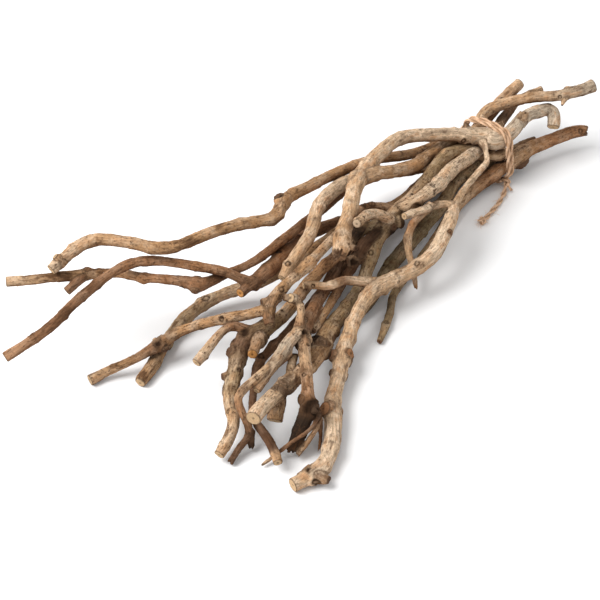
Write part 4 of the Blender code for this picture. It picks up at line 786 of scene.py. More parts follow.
# Wood that shows at the cut ends, where it isn't the common colour
END_WOOD = {
    "brown_branch": CUT_ORANGE, "brown_branch_tip": CUT_WOOD, "arched_branch_fork": CUT_ORANGE,
    "arched_branch": (CUT_WOOD, BURNT), "hooked_limb": PALE,
    "forked_limb": BLACK, "crooked_spur": BLACK, "crooked_spur_tip": BROWN, "low_right_branch": BROWN,
    "knotted_branch_stem": GREY, "upright_stub": TAN, "narrow_limb": BROWN, "rootlet": TAN,
    "floor_branch": BROWN, "hanging_spur": BROWN,
}
STUB_WOOD = {1: TAN, 3: CUT_WOOD, 5: CUT_WOOD, 6: CUT_ORANGE, 15: TAN}
STUB_BARK = {1: TAN, 2: TAN, 3: HONEY, 5: BROWN, 11: DARK, 12: BLACK, 15: OLIVE}
KNOB_BARK = np.array([0.36, 0.22, 0.125])
KNOB_RISE = 0.0012

# Twigs with an end that is torn, or rotted, and not cut across
RAGGED = {
    "forked_limb": "last", "crooked_spur": "last", "low_right_branch": "first", "rootlet": "last",
    "rootlet_short": "last", "rootlet_long": "last", "crooked_spur_tip": "last",
    "knotted_branch_stem": "first", "hanging_spur": "last", "arched_branch": "last",
}

# Twine: its plies, strands, knots and loose fibres
PLY_LAY = 0.027
STRAND_LAY = 0.013
STRANDS = 5
TWINE_STEP = 0.0009
LOOP_STATIONS = 260
TWINE_FULLNESS = 0.97
TIE_STRAND = 0.0017
END_KNOT_SIZE = 0.0086
END_STRAND = 0.0014
FIBRES = 420
FIBRE_RADIUS = 0.00009
SHORTEST_FIBRE = 0.003
JUTE_DULL = (0.64, 0.40, 0.24)
JUTE_LIGHT = (0.88, 0.62, 0.42)
JUTE_HAIR = (0.50, 0.28, 0.15)
# Painted shade in the hollows between plies and strands
JUTE_HOLLOW_SHADE = (0.25, 0.125, 0.06)
JUTE_ROUGHNESS = 0.85
JUTE_SPECULAR = 0.2

# Camera, floor and light
SENSOR_WIDTH = 36.0
CLIP_END = 20.0
FLOOR_SIZE = 6.0
FLOOR_WHITE = (0.9, 0.9, 0.9, 1.0)
FLOOR_ROUGHNESS = 0.9
SKY_WHITE = (1.0, 1.0, 1.0, 1.0)
SKY_STRENGTH = 0.72
KEY_PLACE = (-1.0, 0.75, 1.6)
KEY_SIZE = 1.3
KEY_POWER = 44.0


def lattice_noise(points, seed):
    """Return smooth noise from -1 to 1 at 3D points, one step per unit."""
    base = np.floor(points).astype(np.int64)
    part = points - base
    fade = part * part * part * (part * (part * 6 - 15) + 10)
    total = np.zeros(len(points))
    for corner in range(8):
        step = np.array([corner & 1, corner >> 1 & 1, corner >> 2 & 1])
        cell = base + step
        mix = (cell[:, 0] * 73856093) ^ (cell[:, 1] * 19349663) ^ (cell[:, 2] * 83492791)
        mix = (mix ^ (seed * 2654435761)) & 0xFFFFFFFF
        mix = (mix * 1103515245 + 12345) & 0xFFFFFFFF
        mix = ((mix >> 13) ^ mix) * 1597334677 & 0xFFFFFFFF
        value = (mix >> 8 & 0xFFFF) / 32767.5 - 1.0
        weight = np.prod(np.where(step, fade, 1 - fade), axis=1)
        total += value * weight
    return total


def resampled(places, step):
    """Return a line in even steps of about the given length."""
    length = run_length(places)
    marks = np.linspace(0.0, length[-1], max(4, int(length[-1] / step)))
    return at_marks(places, length, marks)


def softened(line, rounds):
    """Return a line with its corners eased, between its fixed ends."""
    line = line.copy()
    for _ in range(rounds):
        line[1:-1] = (line[:-2] + line[1:-1] * 2 + line[2:]) / 4
    return line


def carried_frame(line):
    """Return a line's direction and two ways across it that don't twist."""
    ahead = np.gradient(line, axis=0)
    ahead /= np.linalg.norm(ahead, axis=1)[:, None]
    across = np.zeros_like(ahead)
    side = np.cross(ahead[0], [0.13, 0.09, 1.0])
    for index, way in enumerate(ahead):
        side = side - way * np.dot(side, way)
        side = side / np.linalg.norm(side)
        across[index] = side
    return ahead, across, np.cross(ahead, across)


class Limb:
    """One twig's middle line in fine steps, kinked and swollen where its buds grew."""

    def __init__(self, name, places, radii, rooted, seed, wood, tone=None):
        self.name = name
        self.rooted = rooted
        self.wood = wood if isinstance(wood, tuple) else (wood, wood)
        self.tones = np.array(TONES[name] if tone is None else [tone, tone])
        length = run_length(places)
        line = softened(resampled(places, FINE_STEP), 3)
        marks = np.linspace(0.0, length[-1], len(line))
        radius = np.interp(marks, length, radii)
        chance = np.random.default_rng(seed)
        self.buds = []
        mark = chance.uniform(*FIRST_BUD)
        while tone is None and mark < length[-1] - BUDLESS_END:
            self.buds.append(mark)
            mark += chance.uniform(*BUD_SPACING)
        bends = np.concatenate([[0.0], self.buds, [length[-1]]])
        lean = chance.uniform(-1, 1, (len(bends), 3)) * KINK
        lean[0] = 0.0
        lean[-2:] = 0.0
        for axis in range(3):
            line[:, axis] += np.interp(marks, bends, lean[:, axis]) * radius
        swell = np.full(len(line), BETWEEN_BUDS)
        for bud in self.buds:
            swell += chance.uniform(0.0, BUD_SWELL) * np.exp(-((marks - bud) / BUD_LENGTH) ** 2)
        self.radius = radius * swell
        self.centre = softened(line, 1)
        self.along = run_length(self.centre)
        self.length = self.along[-1]
        self.ahead, self.side, self.other = carried_frame(self.centre)

    def measure(self, points):
        """Return each point's distance, outward way and place on the limb's bark."""
        nearest = np.empty(len(points), dtype=np.int64)
        squares = (self.centre ** 2).sum(axis=1)
        for start in range(0, len(points), MEASURED_AT_ONCE):
            block = slice(start, start + MEASURED_AT_ONCE)
            nearest[block] = (squares - 2 * points[block] @ self.centre.T).argmin(axis=1)
        ahead = self.ahead[nearest]
        apart = points - self.centre[nearest]
        beyond = np.einsum("ij,ij->i", apart, ahead)
        spoke = apart - ahead * beyond[:, None]
        reach = np.linalg.norm(spoke, axis=1)
        outward = spoke / np.maximum(reach, 1e-9)[:, None]
        along = self.along[nearest] + beyond
        side = reach - self.radius[nearest]
        past_end = along - self.length
        past_start = -along if not self.rooted else np.full(len(points), -1.0)
        past = np.maximum(past_end, past_start)
        way = np.where((past_end >= past_start)[:, None], ahead, -ahead)
        over_side = np.maximum(side + EDGE_ROUND, 0.0)
        over_end = np.maximum(past + EDGE_ROUND, 0.0)
        corner = np.hypot(over_side, over_end)
        distance = np.where(corner > 0, corner - EDGE_ROUND, np.maximum(side, past))
        slope = outward * over_side[:, None] + way * over_end[:, None]
        flat = np.where((side > past)[:, None], outward, way)
        slope = np.where((corner > 1e-9)[:, None], slope / np.maximum(corner, 1e-9)[:, None], flat)
        turn_x = np.einsum("ij,ij->i", outward, self.side[nearest])
        turn_y = np.einsum("ij,ij->i", outward, self.other[nearest])
        torn_end = RAGGED.get(self.name) == "last"
        torn_start = RAGGED.get(self.name) == "first"
        torn = np.where(past_end >= past_start, torn_end, torn_start)
        buds = np.array([-9.0, *self.buds, 9.0])
        later = np.clip(np.searchsorted(buds, along), 1, len(buds) - 1)
        away = np.minimum(np.abs(along - buds[later - 1]), np.abs(along - buds[later]))
        return {"distance": distance, "slope": slope, "along": along, "reach": reach,
                "turn": np.stack([turn_x, turn_y], axis=1), "past": past, "way": way,
                "radius": self.radius[nearest], "torn": torn.astype(float), "bud": away}


def branch_field(limbs, points):
    """Return the blended distance and slope of a branch, and each point's nearest limb."""
    found = [limb.measure(points) for limb in limbs]
    distance = np.stack([item["distance"] for item in found])
    nearest = distance.argmin(axis=0)
    least = distance.min(axis=0)
    share = np.exp(-(distance - least) / BLEND)
    total = share.sum(axis=0)
    slope = sum(item["slope"] * part[:, None] for item, part in zip(found, share)) / total[:, None]
    slope /= np.maximum(np.linalg.norm(slope, axis=1), 1e-9)[:, None]
    picked = {"crotch": np.clip(total - 1, 0, 1)}
    for key in ("along", "reach", "turn", "past", "way", "radius", "torn", "bud"):
        stack = np.stack([item[key] for item in found])
        picked[key] = stack[nearest, np.arange(len(points))]
    return least - BLEND * np.log(total), slope, nearest, picked


def linked(name, data):
    """Return a new object in the scene."""
    made = bpy.data.objects.new(name, data)
    bpy.context.scene.collection.objects.link(made)
    return made


def tree_of(places):
    """Return a tree that finds the nearest of the places."""
    tree = KDTree(len(places))
    for index, place in enumerate(places):
        tree.insert(place, index)
    tree.balance()
    return tree


def tube_lines(name, lines, radii, rounding):
    """Return an object whose mesh is a round tube along each of the lines."""
    core = bpy.data.curves.new(name + "_core", "CURVE")
    core.dimensions = "3D"
    core.bevel_depth = 1.0
    core.bevel_resolution = rounding
    core.use_fill_caps = True
    for line, radius in zip(lines, radii):
        strip = core.splines.new("POLY")
        strip.points.add(len(line) - 1)
        strip.points.foreach_set("co", np.column_stack([line, np.ones(len(line))]).ravel())
        strip.points.foreach_set("radius", np.broadcast_to(radius, len(line)).copy())
    holder = linked(name + "_core", core)
    graph = bpy.context.evaluated_depsgraph_get()
    mesh = bpy.data.meshes.new_from_object(holder.evaluated_get(graph))
    bpy.data.objects.remove(holder)
    return linked(name, mesh)


def rough_skin(name, limbs):
    """Return a remeshed skin around a branch's limbs."""
    skin = tube_lines(name, [limb.centre for limb in limbs], [limb.radius for limb in limbs], 3)
    remesh = skin.modifiers.new("skin", "REMESH")
    remesh.mode = "VOXEL"
    remesh.voxel_size = COARSE_VOXEL if len(limbs) > MANY_LIMBS else SKIN_VOXEL
    graph = bpy.context.evaluated_depsgraph_get()
    remeshed = bpy.data.meshes.new_from_object(skin.evaluated_get(graph))
    skin.modifiers.clear()
    skin.data = remeshed
    return skin


def scar_place(limb, across, down):
    """Return the place on a limb's bark that is seen at a grid point, and its outward way."""
    ray = grid_ray(across, down)
    ray = ray / np.linalg.norm(ray)
    apart = limb.centre - world_eye
    depth = apart @ ray
    miss = apart - depth[:, None] * ray
    index = int(np.linalg.norm(miss, axis=1).argmin())
    offset = -miss[index]
    radius = limb.radius[index]
    size = np.linalg.norm(offset)
    if size > 0.93 * radius:
        offset = offset / size * 0.93 * radius
        size = 0.93 * radius
    outward = offset - ray * math.sqrt(radius ** 2 - size ** 2)
    return limb.centre[index] + outward, outward / np.linalg.norm(outward), limb.ahead[index]


def bud_scars(limb, seed):
    """Return small scars at the places where a limb's buds grew."""
    chance = np.random.default_rng(seed)
    scars = []
    for bud in limb.buds:
        index = min(int(np.searchsorted(limb.along, bud)), len(limb.centre) - 1)
        start = chance.uniform(0, 2 * math.pi)
        for angle in (start, start + math.pi * chance.uniform(0.8, 1.2)):
            if chance.uniform() < SCARLESS:
                continue
            outward = limb.side[index] * math.cos(angle) + limb.other[index] * math.sin(angle)
            kind = SCAR_KINDS[int(chance.integers(0, len(SCAR_KINDS)))]
            size = limb.radius[index] * chance.uniform(0.22, 0.44)
            scars.append((limb.centre[index] + outward * limb.radius[index], outward,
                          limb.ahead[index], size, kind))
    return scars


def carve_scars(points, slope, scars):
    """Return the height and stain that scars add to the bark at each point."""
    height = np.zeros(len(points))
    stain = np.zeros(len(points))
    for place, outward, ahead, size, kind in scars:
        near = np.nonzero(((points - place) ** 2).sum(axis=1) < (size * 2.6) ** 2)[0]
        near = near[slope[near] @ outward > 0.15]
        if not len(near):
            continue
        apart = points[near] - place
        length = apart @ ahead
        across = apart - outward * (apart @ outward)[:, None] - ahead * length[:, None]
        stretch = 1.9 if kind == "eye" else 1.15
        away = np.hypot(length / stretch, np.linalg.norm(across, axis=1)) / size
        swell = np.exp(-(away / 1.3) ** 2)
        rim = np.exp(-((away - 0.95) / 0.26) ** 2)
        pit = np.exp(-(away / 0.55) ** 2)
        groove = np.exp(-((away - 0.55) / 0.24) ** 2)
        if kind == "bump":
            height[near] += size * 0.48 * swell
            stain[near] += 0.3 * pit * (size < 0.004)
        elif kind == "bud":
            height[near] += size * 0.34 * swell
            stain[near] += 1.0 * pit
        elif kind == "hollow":
            height[near] += min(size, 0.003) * (0.4 * swell + 0.4 * rim - 0.9 * pit)
            stain[near] += 1.25 * np.exp(-(away / 0.78) ** 2)
        else:
            height[near] += size * (0.28 * swell + 0.2 * rim - 0.24 * groove)
            stain[near] += 0.95 * groove - 0.25 * rim
    return height, stain


def crowding(points, others):
    """Return how far into a gap between its own branch and the others each point lies, which sets the
    painted shade there.
    """
    tree = tree_of([place for place, _ in others])
    painted_gap_shade = np.zeros(len(points))
    for index, point in enumerate(points):
        _, other, distance = tree.find(point)
        painted_gap_shade[index] = 1 - (distance - others[other][1]) / CROWD_REACH
    return np.clip(painted_gap_shade, 0, 1)


def grain_at(place, shift, across, length, seed):
    """Return noise in patches of the given size across and along a limb's bark."""
    turn = place["turn"] * (place["radius"] / across)[:, None]
    return lattice_noise(np.column_stack([turn, place["along"] / length + shift]), seed)


def work_bark(points, slope, place, shift, scars):
    """Move the points to the worked bark's surface, and return its marks."""
    past, radius, turn = place["past"], place["radius"], place["turn"]
    height, stain = carve_scars(points, slope, scars)
    cut = np.clip((past + 0.0006) / 0.0005, 0.0, 1.0)
    bark = 1.0 - cut

    # Swellings, cracks and clefts of the bark, and a collar at each bud
    broad = lattice_noise(np.column_stack([turn * 1.3, place["along"] / 0.016 + shift]), 11)
    lumps = grain_at(place, shift, 0.0032, 0.006, 5)
    crack = grain_at(place, shift, 0.0013, 0.009, 7)
    split = grain_at(place, shift, 0.0024, 0.022, 17)
    grit = lattice_noise(points / 0.0016, 9)
    crease = np.clip(np.abs(crack) * -3 + 0.55, 0, 1)
    cleft = np.clip(np.abs(split) * -5 + 0.6, 0, 1) * np.clip(broad * 3 + 0.4, 0, 1)
    collar = np.exp(-((place["bud"] - 0.0007) / 0.0006) ** 2) * np.clip(lumps * 3 - 0.2, 0, 1)
    height += bark * radius * (0.075 * broad + 0.045 * lumps)
    height += bark * (0.00015 * grit - 0.00028 * crease - 0.0006 * cleft + 0.0002 * collar)

    # Splinters of a torn end, and the saw's marks on a cut one
    rim = np.clip(1 + past / 0.005, 0.0, 1.0)
    splinter = lattice_noise(np.column_stack([turn * (radius / 0.0015)[:, None], shift]), 21)
    points += place["way"] * (place["torn"] * rim * (splinter - 0.35) * SPLINTER_DEPTH)[:, None]
    pith = place["reach"] / radius < 0.3
    height += cut * (0.00015 * lattice_noise(points / 0.0009, 31) - 0.0003 * pith)
    points += slope * height[:, None]
    points[:, 2] = np.maximum(points[:, 2], SURFACE_GAP)
    return {"stain": stain, "bark": bark, "broad": broad,
            "grime": 0.3 * crease + 0.7 * cleft + 0.45 * collar}


def limb_colours(limbs, nearest, along):
    """Return each point's bark colour and the colour of the wood in its limb's end."""
    tint = np.zeros((len(along), 3))
    wood = np.zeros((len(along), 3))
    for index, limb in enumerate(limbs):
        mine = nearest == index
        marks = limb.tones
        share = np.clip(along[mine] / limb.length, 0, 1) * (len(marks) - 1)
        for channel in range(3):
            tint[mine, channel] = np.interp(share, np.arange(len(marks)), marks[:, channel])
        if limb.name in PEELED and limb.buds:
            length, bare = PEELED[limb.name]
            tint[mine & (along > limb.length - length * MM)] = bare
        first, last = limb.wood
        wood[mine] = np.where(along[mine, None] < limb.length / 2, first, last)
    return tint, wood


def dress_bark(skin, limbs, scars, others):
    """Draw the skin onto the branch's field, work the bark into it and colour it, with painted shade below
    and in the gaps beside other branches.
    """
    mesh = skin.data
    points = np.empty(len(mesh.vertices) * 3)
    mesh.vertices.foreach_get("co", points)
    points = points.reshape(-1, 3)
    for _ in range(3):
        distance, slope, nearest, place = branch_field(limbs, points)
        points -= slope * np.clip(distance, -MM, MM)[:, None]
    distance, slope, nearest, place = branch_field(limbs, points)
    shift = nearest * LIMB_SHIFT
    marks = work_bark(points, slope, place, shift, scars)
    mesh.vertices.foreach_set("co", points.ravel())

    tint, wood = limb_colours(limbs, nearest, place["along"])
    tint = spread(mesh, tint, 3)
    # Painted shade: the bark is darker where its surface faces down, with some noise
    painted_underside_shade = np.clip(-slope[:, 2] * 0.85 + 0.15 + 0.3 * marks["broad"], 0, 1)
    # Painted shade in the gaps beside other branches: it darkens the tint and, through the grime, the stain
    painted_gap_shade = crowding(points, others)
    # This grime is darker cracks, clefts, bud collars and forks, plus the painted shade in the gaps
    grime = marks["grime"] + 0.5 * place["crotch"] + 0.6 * painted_gap_shade ** 2
    tint *= 1 - painted_underside_shade[:, None] * UNDER_SHADE
    tint *= 1 - painted_gap_shade[:, None] * CROWD_SHADE
    grain = np.column_stack([place["turn"] * place["reach"][:, None], place["along"] + shift * 0.1])
    ends = [np.maximum(place["past"], -0.01) / MM, place["reach"] / place["radius"], place["torn"]]
    store(mesh, "grain", "FLOAT_VECTOR", grain)
    store(mesh, "tint", "FLOAT_VECTOR", tint)
    store(mesh, "wood", "FLOAT_VECTOR", wood)
    store(mesh, "ends", "FLOAT_VECTOR", np.column_stack(ends))
    # The stain attribute holds scar stains and the grime, and with it the painted shade in the gaps
    store(mesh, "stain", "FLOAT", np.clip(marks["stain"] + grime * marks["bark"], 0, 1.3))
    mesh.update()


def spread(mesh, values, rounds):
    """Return values smoothed over a mesh's edges."""
    edges = np.empty(len(mesh.edges) * 2, dtype=np.int32)
    mesh.edges.foreach_get("vertices", edges)
    edges = edges.reshape(-1, 2)
    count = np.bincount(edges.ravel(), minlength=len(values))
    for _ in range(rounds):
        total = values.copy()
        for channel in range(values.shape[1]):
            total[:, channel] += np.bincount(edges[:, 0], values[edges[:, 1], channel], len(values))
            total[:, channel] += np.bincount(edges[:, 1], values[edges[:, 0], channel], len(values))
        values = total / (count + 1)[:, None]
    return values


def finished(piece, material):
    """Return a piece, smoothed and with its one material."""
    piece.data.materials.clear()
    piece.data.materials.append(material)
    for polygon in piece.data.polygons:
        polygon.use_smooth = True
    return piece


def store(mesh, name, kind, values):
    """Keep per-vertex values on a mesh for its material."""
    attribute = mesh.attributes.new(name, kind, "POINT")
    key = "vector" if kind == "FLOAT_VECTOR" else "value"
    attribute.data.foreach_set(key, np.asarray(values, dtype=np.float32).ravel())


def node(tree, kind, place, **values):
    """Add a shader node and set its plain values."""
    made = tree.nodes.new(kind)
    made.location = place
    for key, value in values.items():
        if hasattr(made, key):
            setattr(made, key, value)
        else:
            made.inputs[key.replace("_", " ")].default_value = value
    return made


def ranged(tree, place, source, low, high, to_low, to_high):
    """Return the output of a map range node fed from a socket."""
    made = node(tree, "ShaderNodeMapRange", place, From_Min=low, From_Max=high,
                To_Min=to_low, To_Max=to_high)
    tree.links.new(source, made.inputs["Value"])
    return made.outputs["Result"]


def combined(tree, place, operation, first, second):
    """Return the output of a maths node fed from sockets or plain numbers."""
    made = node(tree, "ShaderNodeMath", place, operation=operation)
    for socket, value in zip(made.inputs, (first, second)):
        if isinstance(value, (int, float)):
            socket.default_value = value
        else:
            tree.links.new(value, socket)
    return made.outputs[0]


def coloured(tree, place, factor, base, over, blend="MIX"):
    """Return the output of a colour mix fed from sockets or plain colours."""
    made = node(tree, "ShaderNodeMix", place, data_type="RGBA", blend_type=blend)
    tree.links.new(factor, made.inputs["Factor"])
    for socket, value in ((made.inputs[6], base), (made.inputs[7], over)):
        if isinstance(value, tuple):
            socket.default_value = (*value, 1.0)
        else:
            tree.links.new(value, socket)
    return made.outputs[2]


def grain_noise(tree, place, vector, scale, detail, stretch=(1.0, 1.0, 1.0)):
    """Return noise read along a twig's grain, stretched along it."""
    drawn = node(tree, "ShaderNodeMapping", (place[0] - 200, place[1]))
    drawn.inputs["Scale"].default_value = tuple(scale * part for part in stretch)
    tree.links.new(vector, drawn.inputs["Vector"])
    made = node(tree, "ShaderNodeTexNoise", place, Scale=1.0, Detail=detail, Roughness=0.62)
    tree.links.new(drawn.outputs["Vector"], made.inputs["Vector"])
    return made.outputs["Fac"]


def face_group(name, inputs, outputs):
    """Return a node group with its named sockets, and its entry and exit."""
    group = bpy.data.node_groups.new(name, "ShaderNodeTree")
    for label, kind in inputs:
        group.interface.new_socket(label, in_out="INPUT", socket_type="NodeSocket" + kind)
    for label, kind in outputs:
        group.interface.new_socket(label, in_out="OUTPUT", socket_type="NodeSocket" + kind)
    return group, node(group, "NodeGroupInput", (-1400, 0)), node(group, "NodeGroupOutput", (1600, 0))


def weathering_group():
    """Return the node group that bleaches bark, partly as a painted highlight, and streaks, speckles,
    stains and roughens it.
    """
    group, entry, leave = face_group(
        "bark_weathering",
        [("Grain", "Vector"), ("Tint", "Color"), ("Stain And Shade", "Float"), ("Bleach And Highlight", "Float"),
         ("Rust", "Float"), ("Grime", "Float"), ("Speckle", "Float")],
        [("Color", "Color"), ("Roughness", "Float"), ("Height", "Float")])
    grain = entry.outputs["Grain"]
    patches = grain_noise(group, (-900, 500), grain, 85.0, 4.0, (1.0, 1.0, 0.8))
    worn = grain_noise(group, (-900, 250), grain, 150.0, 5.0, (1.0, 1.0, 0.45))
    streaks = grain_noise(group, (-900, 0), grain, 900.0, 5.0, (1.0, 1.0, 0.12))
    specks = grain_noise(group, (-900, -250), grain, 640.0, 3.0, (1.0, 1.0, 0.6))
    fine = grain_noise(group, (-900, -500), grain, 2300.0, 2.0, (1.0, 1.0, 0.5))
    rings = grain_noise(group, (-900, -750), grain, 420.0, 2.0, (0.35, 0.35, 2.6))

    # Partly painted highlight: the pale weathering falls where the tint is light, which the painted
    # underside shade keeps to the upper sides
    shade = node(group, "ShaderNodeRGBToBW", (-1100, 700))
    group.links.new(entry.outputs["Tint"], shade.inputs[0])
    light_tint_bleach = combined(group, (-800, 700), "MULTIPLY", entry.outputs["Bleach And Highlight"],
                         ranged(group, (-1000, 700), shade.outputs[0], 0.05, 0.35, 0.0, 1.0))
    bleached_and_highlit = coloured(group, (-400, 450),
                        combined(group, (-600, 450), "MULTIPLY",
                                 ranged(group, (-700, 500), patches, 0.46, 0.62, 0.0, 1.0), light_tint_bleach),
                        entry.outputs["Tint"], BLEACH_AND_HIGHLIGHT)
    rusty = coloured(group, (-200, 400),
                     combined(group, (-400, 250), "MULTIPLY",
                              combined(group, (-500, 200), "MULTIPLY", light_tint_bleach,
                                       ranged(group, (-600, 250), worn, 0.51, 0.63, 0.0, 1.6)),
                              entry.outputs["Rust"]),
                     bleached_and_highlit, RUST_STAIN)
    dirty = coloured(group, (0, 350),
                     combined(group, (-200, 150), "MULTIPLY",
                              ranged(group, (-400, 100), worn, 0.47, 0.34, 0.0, 1.0),
                              entry.outputs["Grime"]),
                     rusty, GRIME)
    gain = combined(group, (-200, -50), "MULTIPLY",
                    ranged(group, (-600, 0), streaks, 0.34, 0.66, 0.7, 1.25),
                    ranged(group, (-600, -700), rings, 0.35, 0.65, 0.92, 1.06))
    shaded = node(group, "ShaderNodeVectorMath", (200, 300), operation="SCALE")
    group.links.new(dirty, shaded.inputs[0])
    group.links.new(gain, shaded.inputs["Scale"])
    dots = combined(group, (-400, -250), "MULTIPLY",
                    ranged(group, (-600, -250), specks, 0.57, 0.65, 0.0, 0.85), entry.outputs["Speckle"])
    dotted = coloured(group, (400, 250), dots, shaded.outputs[0], SPECK)
    # Stains and painted shade darken the colour here
    stain_and_shade_amount = node(group, "ShaderNodeMath", (400, 0), operation="MULTIPLY", use_clamp=True)
    group.links.new(entry.outputs["Stain And Shade"], stain_and_shade_amount.inputs[0])
    stain_and_shade_amount.inputs[1].default_value = 0.9
    stained = coloured(group, (700, 200), stain_and_shade_amount.outputs[0], dotted, STAIN_AND_SHADE_DARK)
    group.links.new(stained, leave.inputs["Color"])
    group.links.new(ranged(group, (700, -100), streaks, 0.3, 0.7, 0.72, 0.94), leave.inputs["Roughness"])
    relief = combined(group, (200, -300), "MULTIPLY_ADD", streaks, 1.1)
    group.links.new(fine, relief.node.inputs[2])
    pitted = combined(group, (400, -300), "SUBTRACT", relief, dots)
    worn_relief = combined(group, (600, -300), "MULTIPLY_ADD", worn, 1.6)
    group.links.new(pitted, worn_relief.node.inputs[2])
    group.links.new(worn_relief, leave.inputs["Height"])
    return group


def end_wood_group():
    """Return the node group that lays growth rings and a bark rim over a twig's cut ends."""
    group, entry, leave = face_group(
        "end_wood",
        [("Bark", "Color"), ("Wood", "Color"), ("Grain", "Vector"), ("Ends", "Vector"),
         ("Ring Spacing", "Float")],
        [("Color", "Color"), ("Face", "Float")])
    flat = node(group, "ShaderNodeVectorMath", (-1100, 300), operation="MULTIPLY")
    flat.inputs[1].default_value = (1.0, 1.0, 0.0)
    group.links.new(entry.outputs["Grain"], flat.inputs[0])
    pith = node(group, "ShaderNodeVectorMath", (-900, 300), operation="LENGTH")
    group.links.new(flat.outputs[0], pith.inputs[0])
    wobble = node(group, "ShaderNodeTexNoise", (-900, 500), Scale=330.0, Detail=3.0)
    group.links.new(flat.outputs[0], wobble.inputs["Vector"])
    rounds = combined(group, (-700, 300), "DIVIDE", pith.outputs["Value"], entry.outputs["Ring Spacing"])
    drift = combined(group, (-500, 300), "MULTIPLY_ADD", wobble.outputs["Fac"], 8.0)
    group.links.new(rounds, drift.node.inputs[2])
    wave = combined(group, (-300, 300), "SINE", drift, 0.0)
    saw = node(group, "ShaderNodeTexNoise", (-700, 700), Scale=1400.0, Detail=4.0)
    group.links.new(entry.outputs["Grain"], saw.inputs["Vector"])
    gain = combined(group, (0, 400), "MULTIPLY",
                    ranged(group, (-200, 300), wave, -1.0, 1.0, 0.74, 1.1),
                    ranged(group, (-400, 700), saw.outputs["Fac"], 0.3, 0.7, 0.8, 1.15))
    heart = ranged(group, (-400, 500), pith.outputs["Value"], 0.0004, 0.0014, 0.4, 1.0)
    wood_gain = combined(group, (200, 400), "MULTIPLY", gain, heart)
    wood = node(group, "ShaderNodeVectorMath", (400, 400), operation="SCALE")
    group.links.new(entry.outputs["Wood"], wood.inputs[0])
    group.links.new(wood_gain, wood.inputs["Scale"])
    apart = node(group, "ShaderNodeSeparateXYZ", (-1100, -200))
    group.links.new(entry.outputs["Ends"], apart.inputs[0])
    rim = ranged(group, (-700, -300), apart.outputs["Y"], 0.80, 0.93, 0.0, 0.8)
    rimmed = coloured(group, (600, 300), rim, wood.outputs[0], BARK_RIM)
    face = ranged(group, (-700, -100), apart.outputs["X"], -0.45, -0.25, 0.0, 1.0)
    whole = combined(group, (-500, -100), "MULTIPLY", face,
                     ranged(group, (-700, -500), apart.outputs["Z"], 0.0, 1.0, 1.0, 0.45))
    lip = ranged(group, (-300, -400), apart.outputs["X"], -1.3, -0.5, 0.0, 0.55)
    lipped = coloured(group, (600, 0), lip, entry.outputs["Bark"], BARK_LIP)
    faced = coloured(group, (900, 100), whole, lipped, rimmed)
    group.links.new(faced, leave.inputs["Color"])
    group.links.new(face, leave.inputs["Face"])
    return group


def new_material(name):
    """Return a material, its node tree and its shader."""
    material = bpy.data.materials.new(name)
    material.use_nodes = True
    return material, material.node_tree, material.node_tree.nodes["Principled BSDF"]


def bark_material(name, bleach_and_highlight, rust, grime, speckle, depth):
    """Return a bark material that reads the branch's own attributes."""
    material, tree, shader = new_material(name)
    read = {}
    for index, (label, output) in enumerate((("grain", "Vector"), ("tint", "Vector"), ("stain", "Fac"),
                                             ("wood", "Vector"), ("ends", "Vector"))):
        reader = node(tree, "ShaderNodeAttribute", (-1000, 400 - 200 * index))
        reader.attribute_name = label
        read[label] = reader.outputs[output]
    weather = node(tree, "ShaderNodeGroup", (-700, 100))
    weather.node_tree = weathering
    for socket, label in (("Grain", "grain"), ("Tint", "tint"), ("Stain And Shade", "stain")):
        tree.links.new(read[label], weather.inputs[socket])
    for socket, value in (("Bleach And Highlight", bleach_and_highlight), ("Rust", rust), ("Grime", grime), ("Speckle", speckle)):
        weather.inputs[socket].default_value = value
    ends = node(tree, "ShaderNodeGroup", (-400, 100))
    ends.node_tree = end_wood
    for socket, label in (("Wood", "wood"), ("Grain", "grain"), ("Ends", "ends")):
        tree.links.new(read[label], ends.inputs[socket])
    ends.inputs["Ring Spacing"].default_value = RING_SPACING
    tree.links.new(weather.outputs["Color"], ends.inputs["Bark"])
    bump = node(tree, "ShaderNodeBump", (-200, -300), Strength=0.8, Distance=depth)
    tree.links.new(weather.outputs["Height"], bump.inputs["Height"])
    tree.links.new(ends.outputs["Color"], shader.inputs["Base Color"])
    tree.links.new(weather.outputs["Roughness"], shader.inputs["Roughness"])
    tree.links.new(bump.outputs["Normal"], shader.inputs["Normal"])
    shader.inputs["Specular IOR Level"].default_value = BARK_SPECULAR
    return material


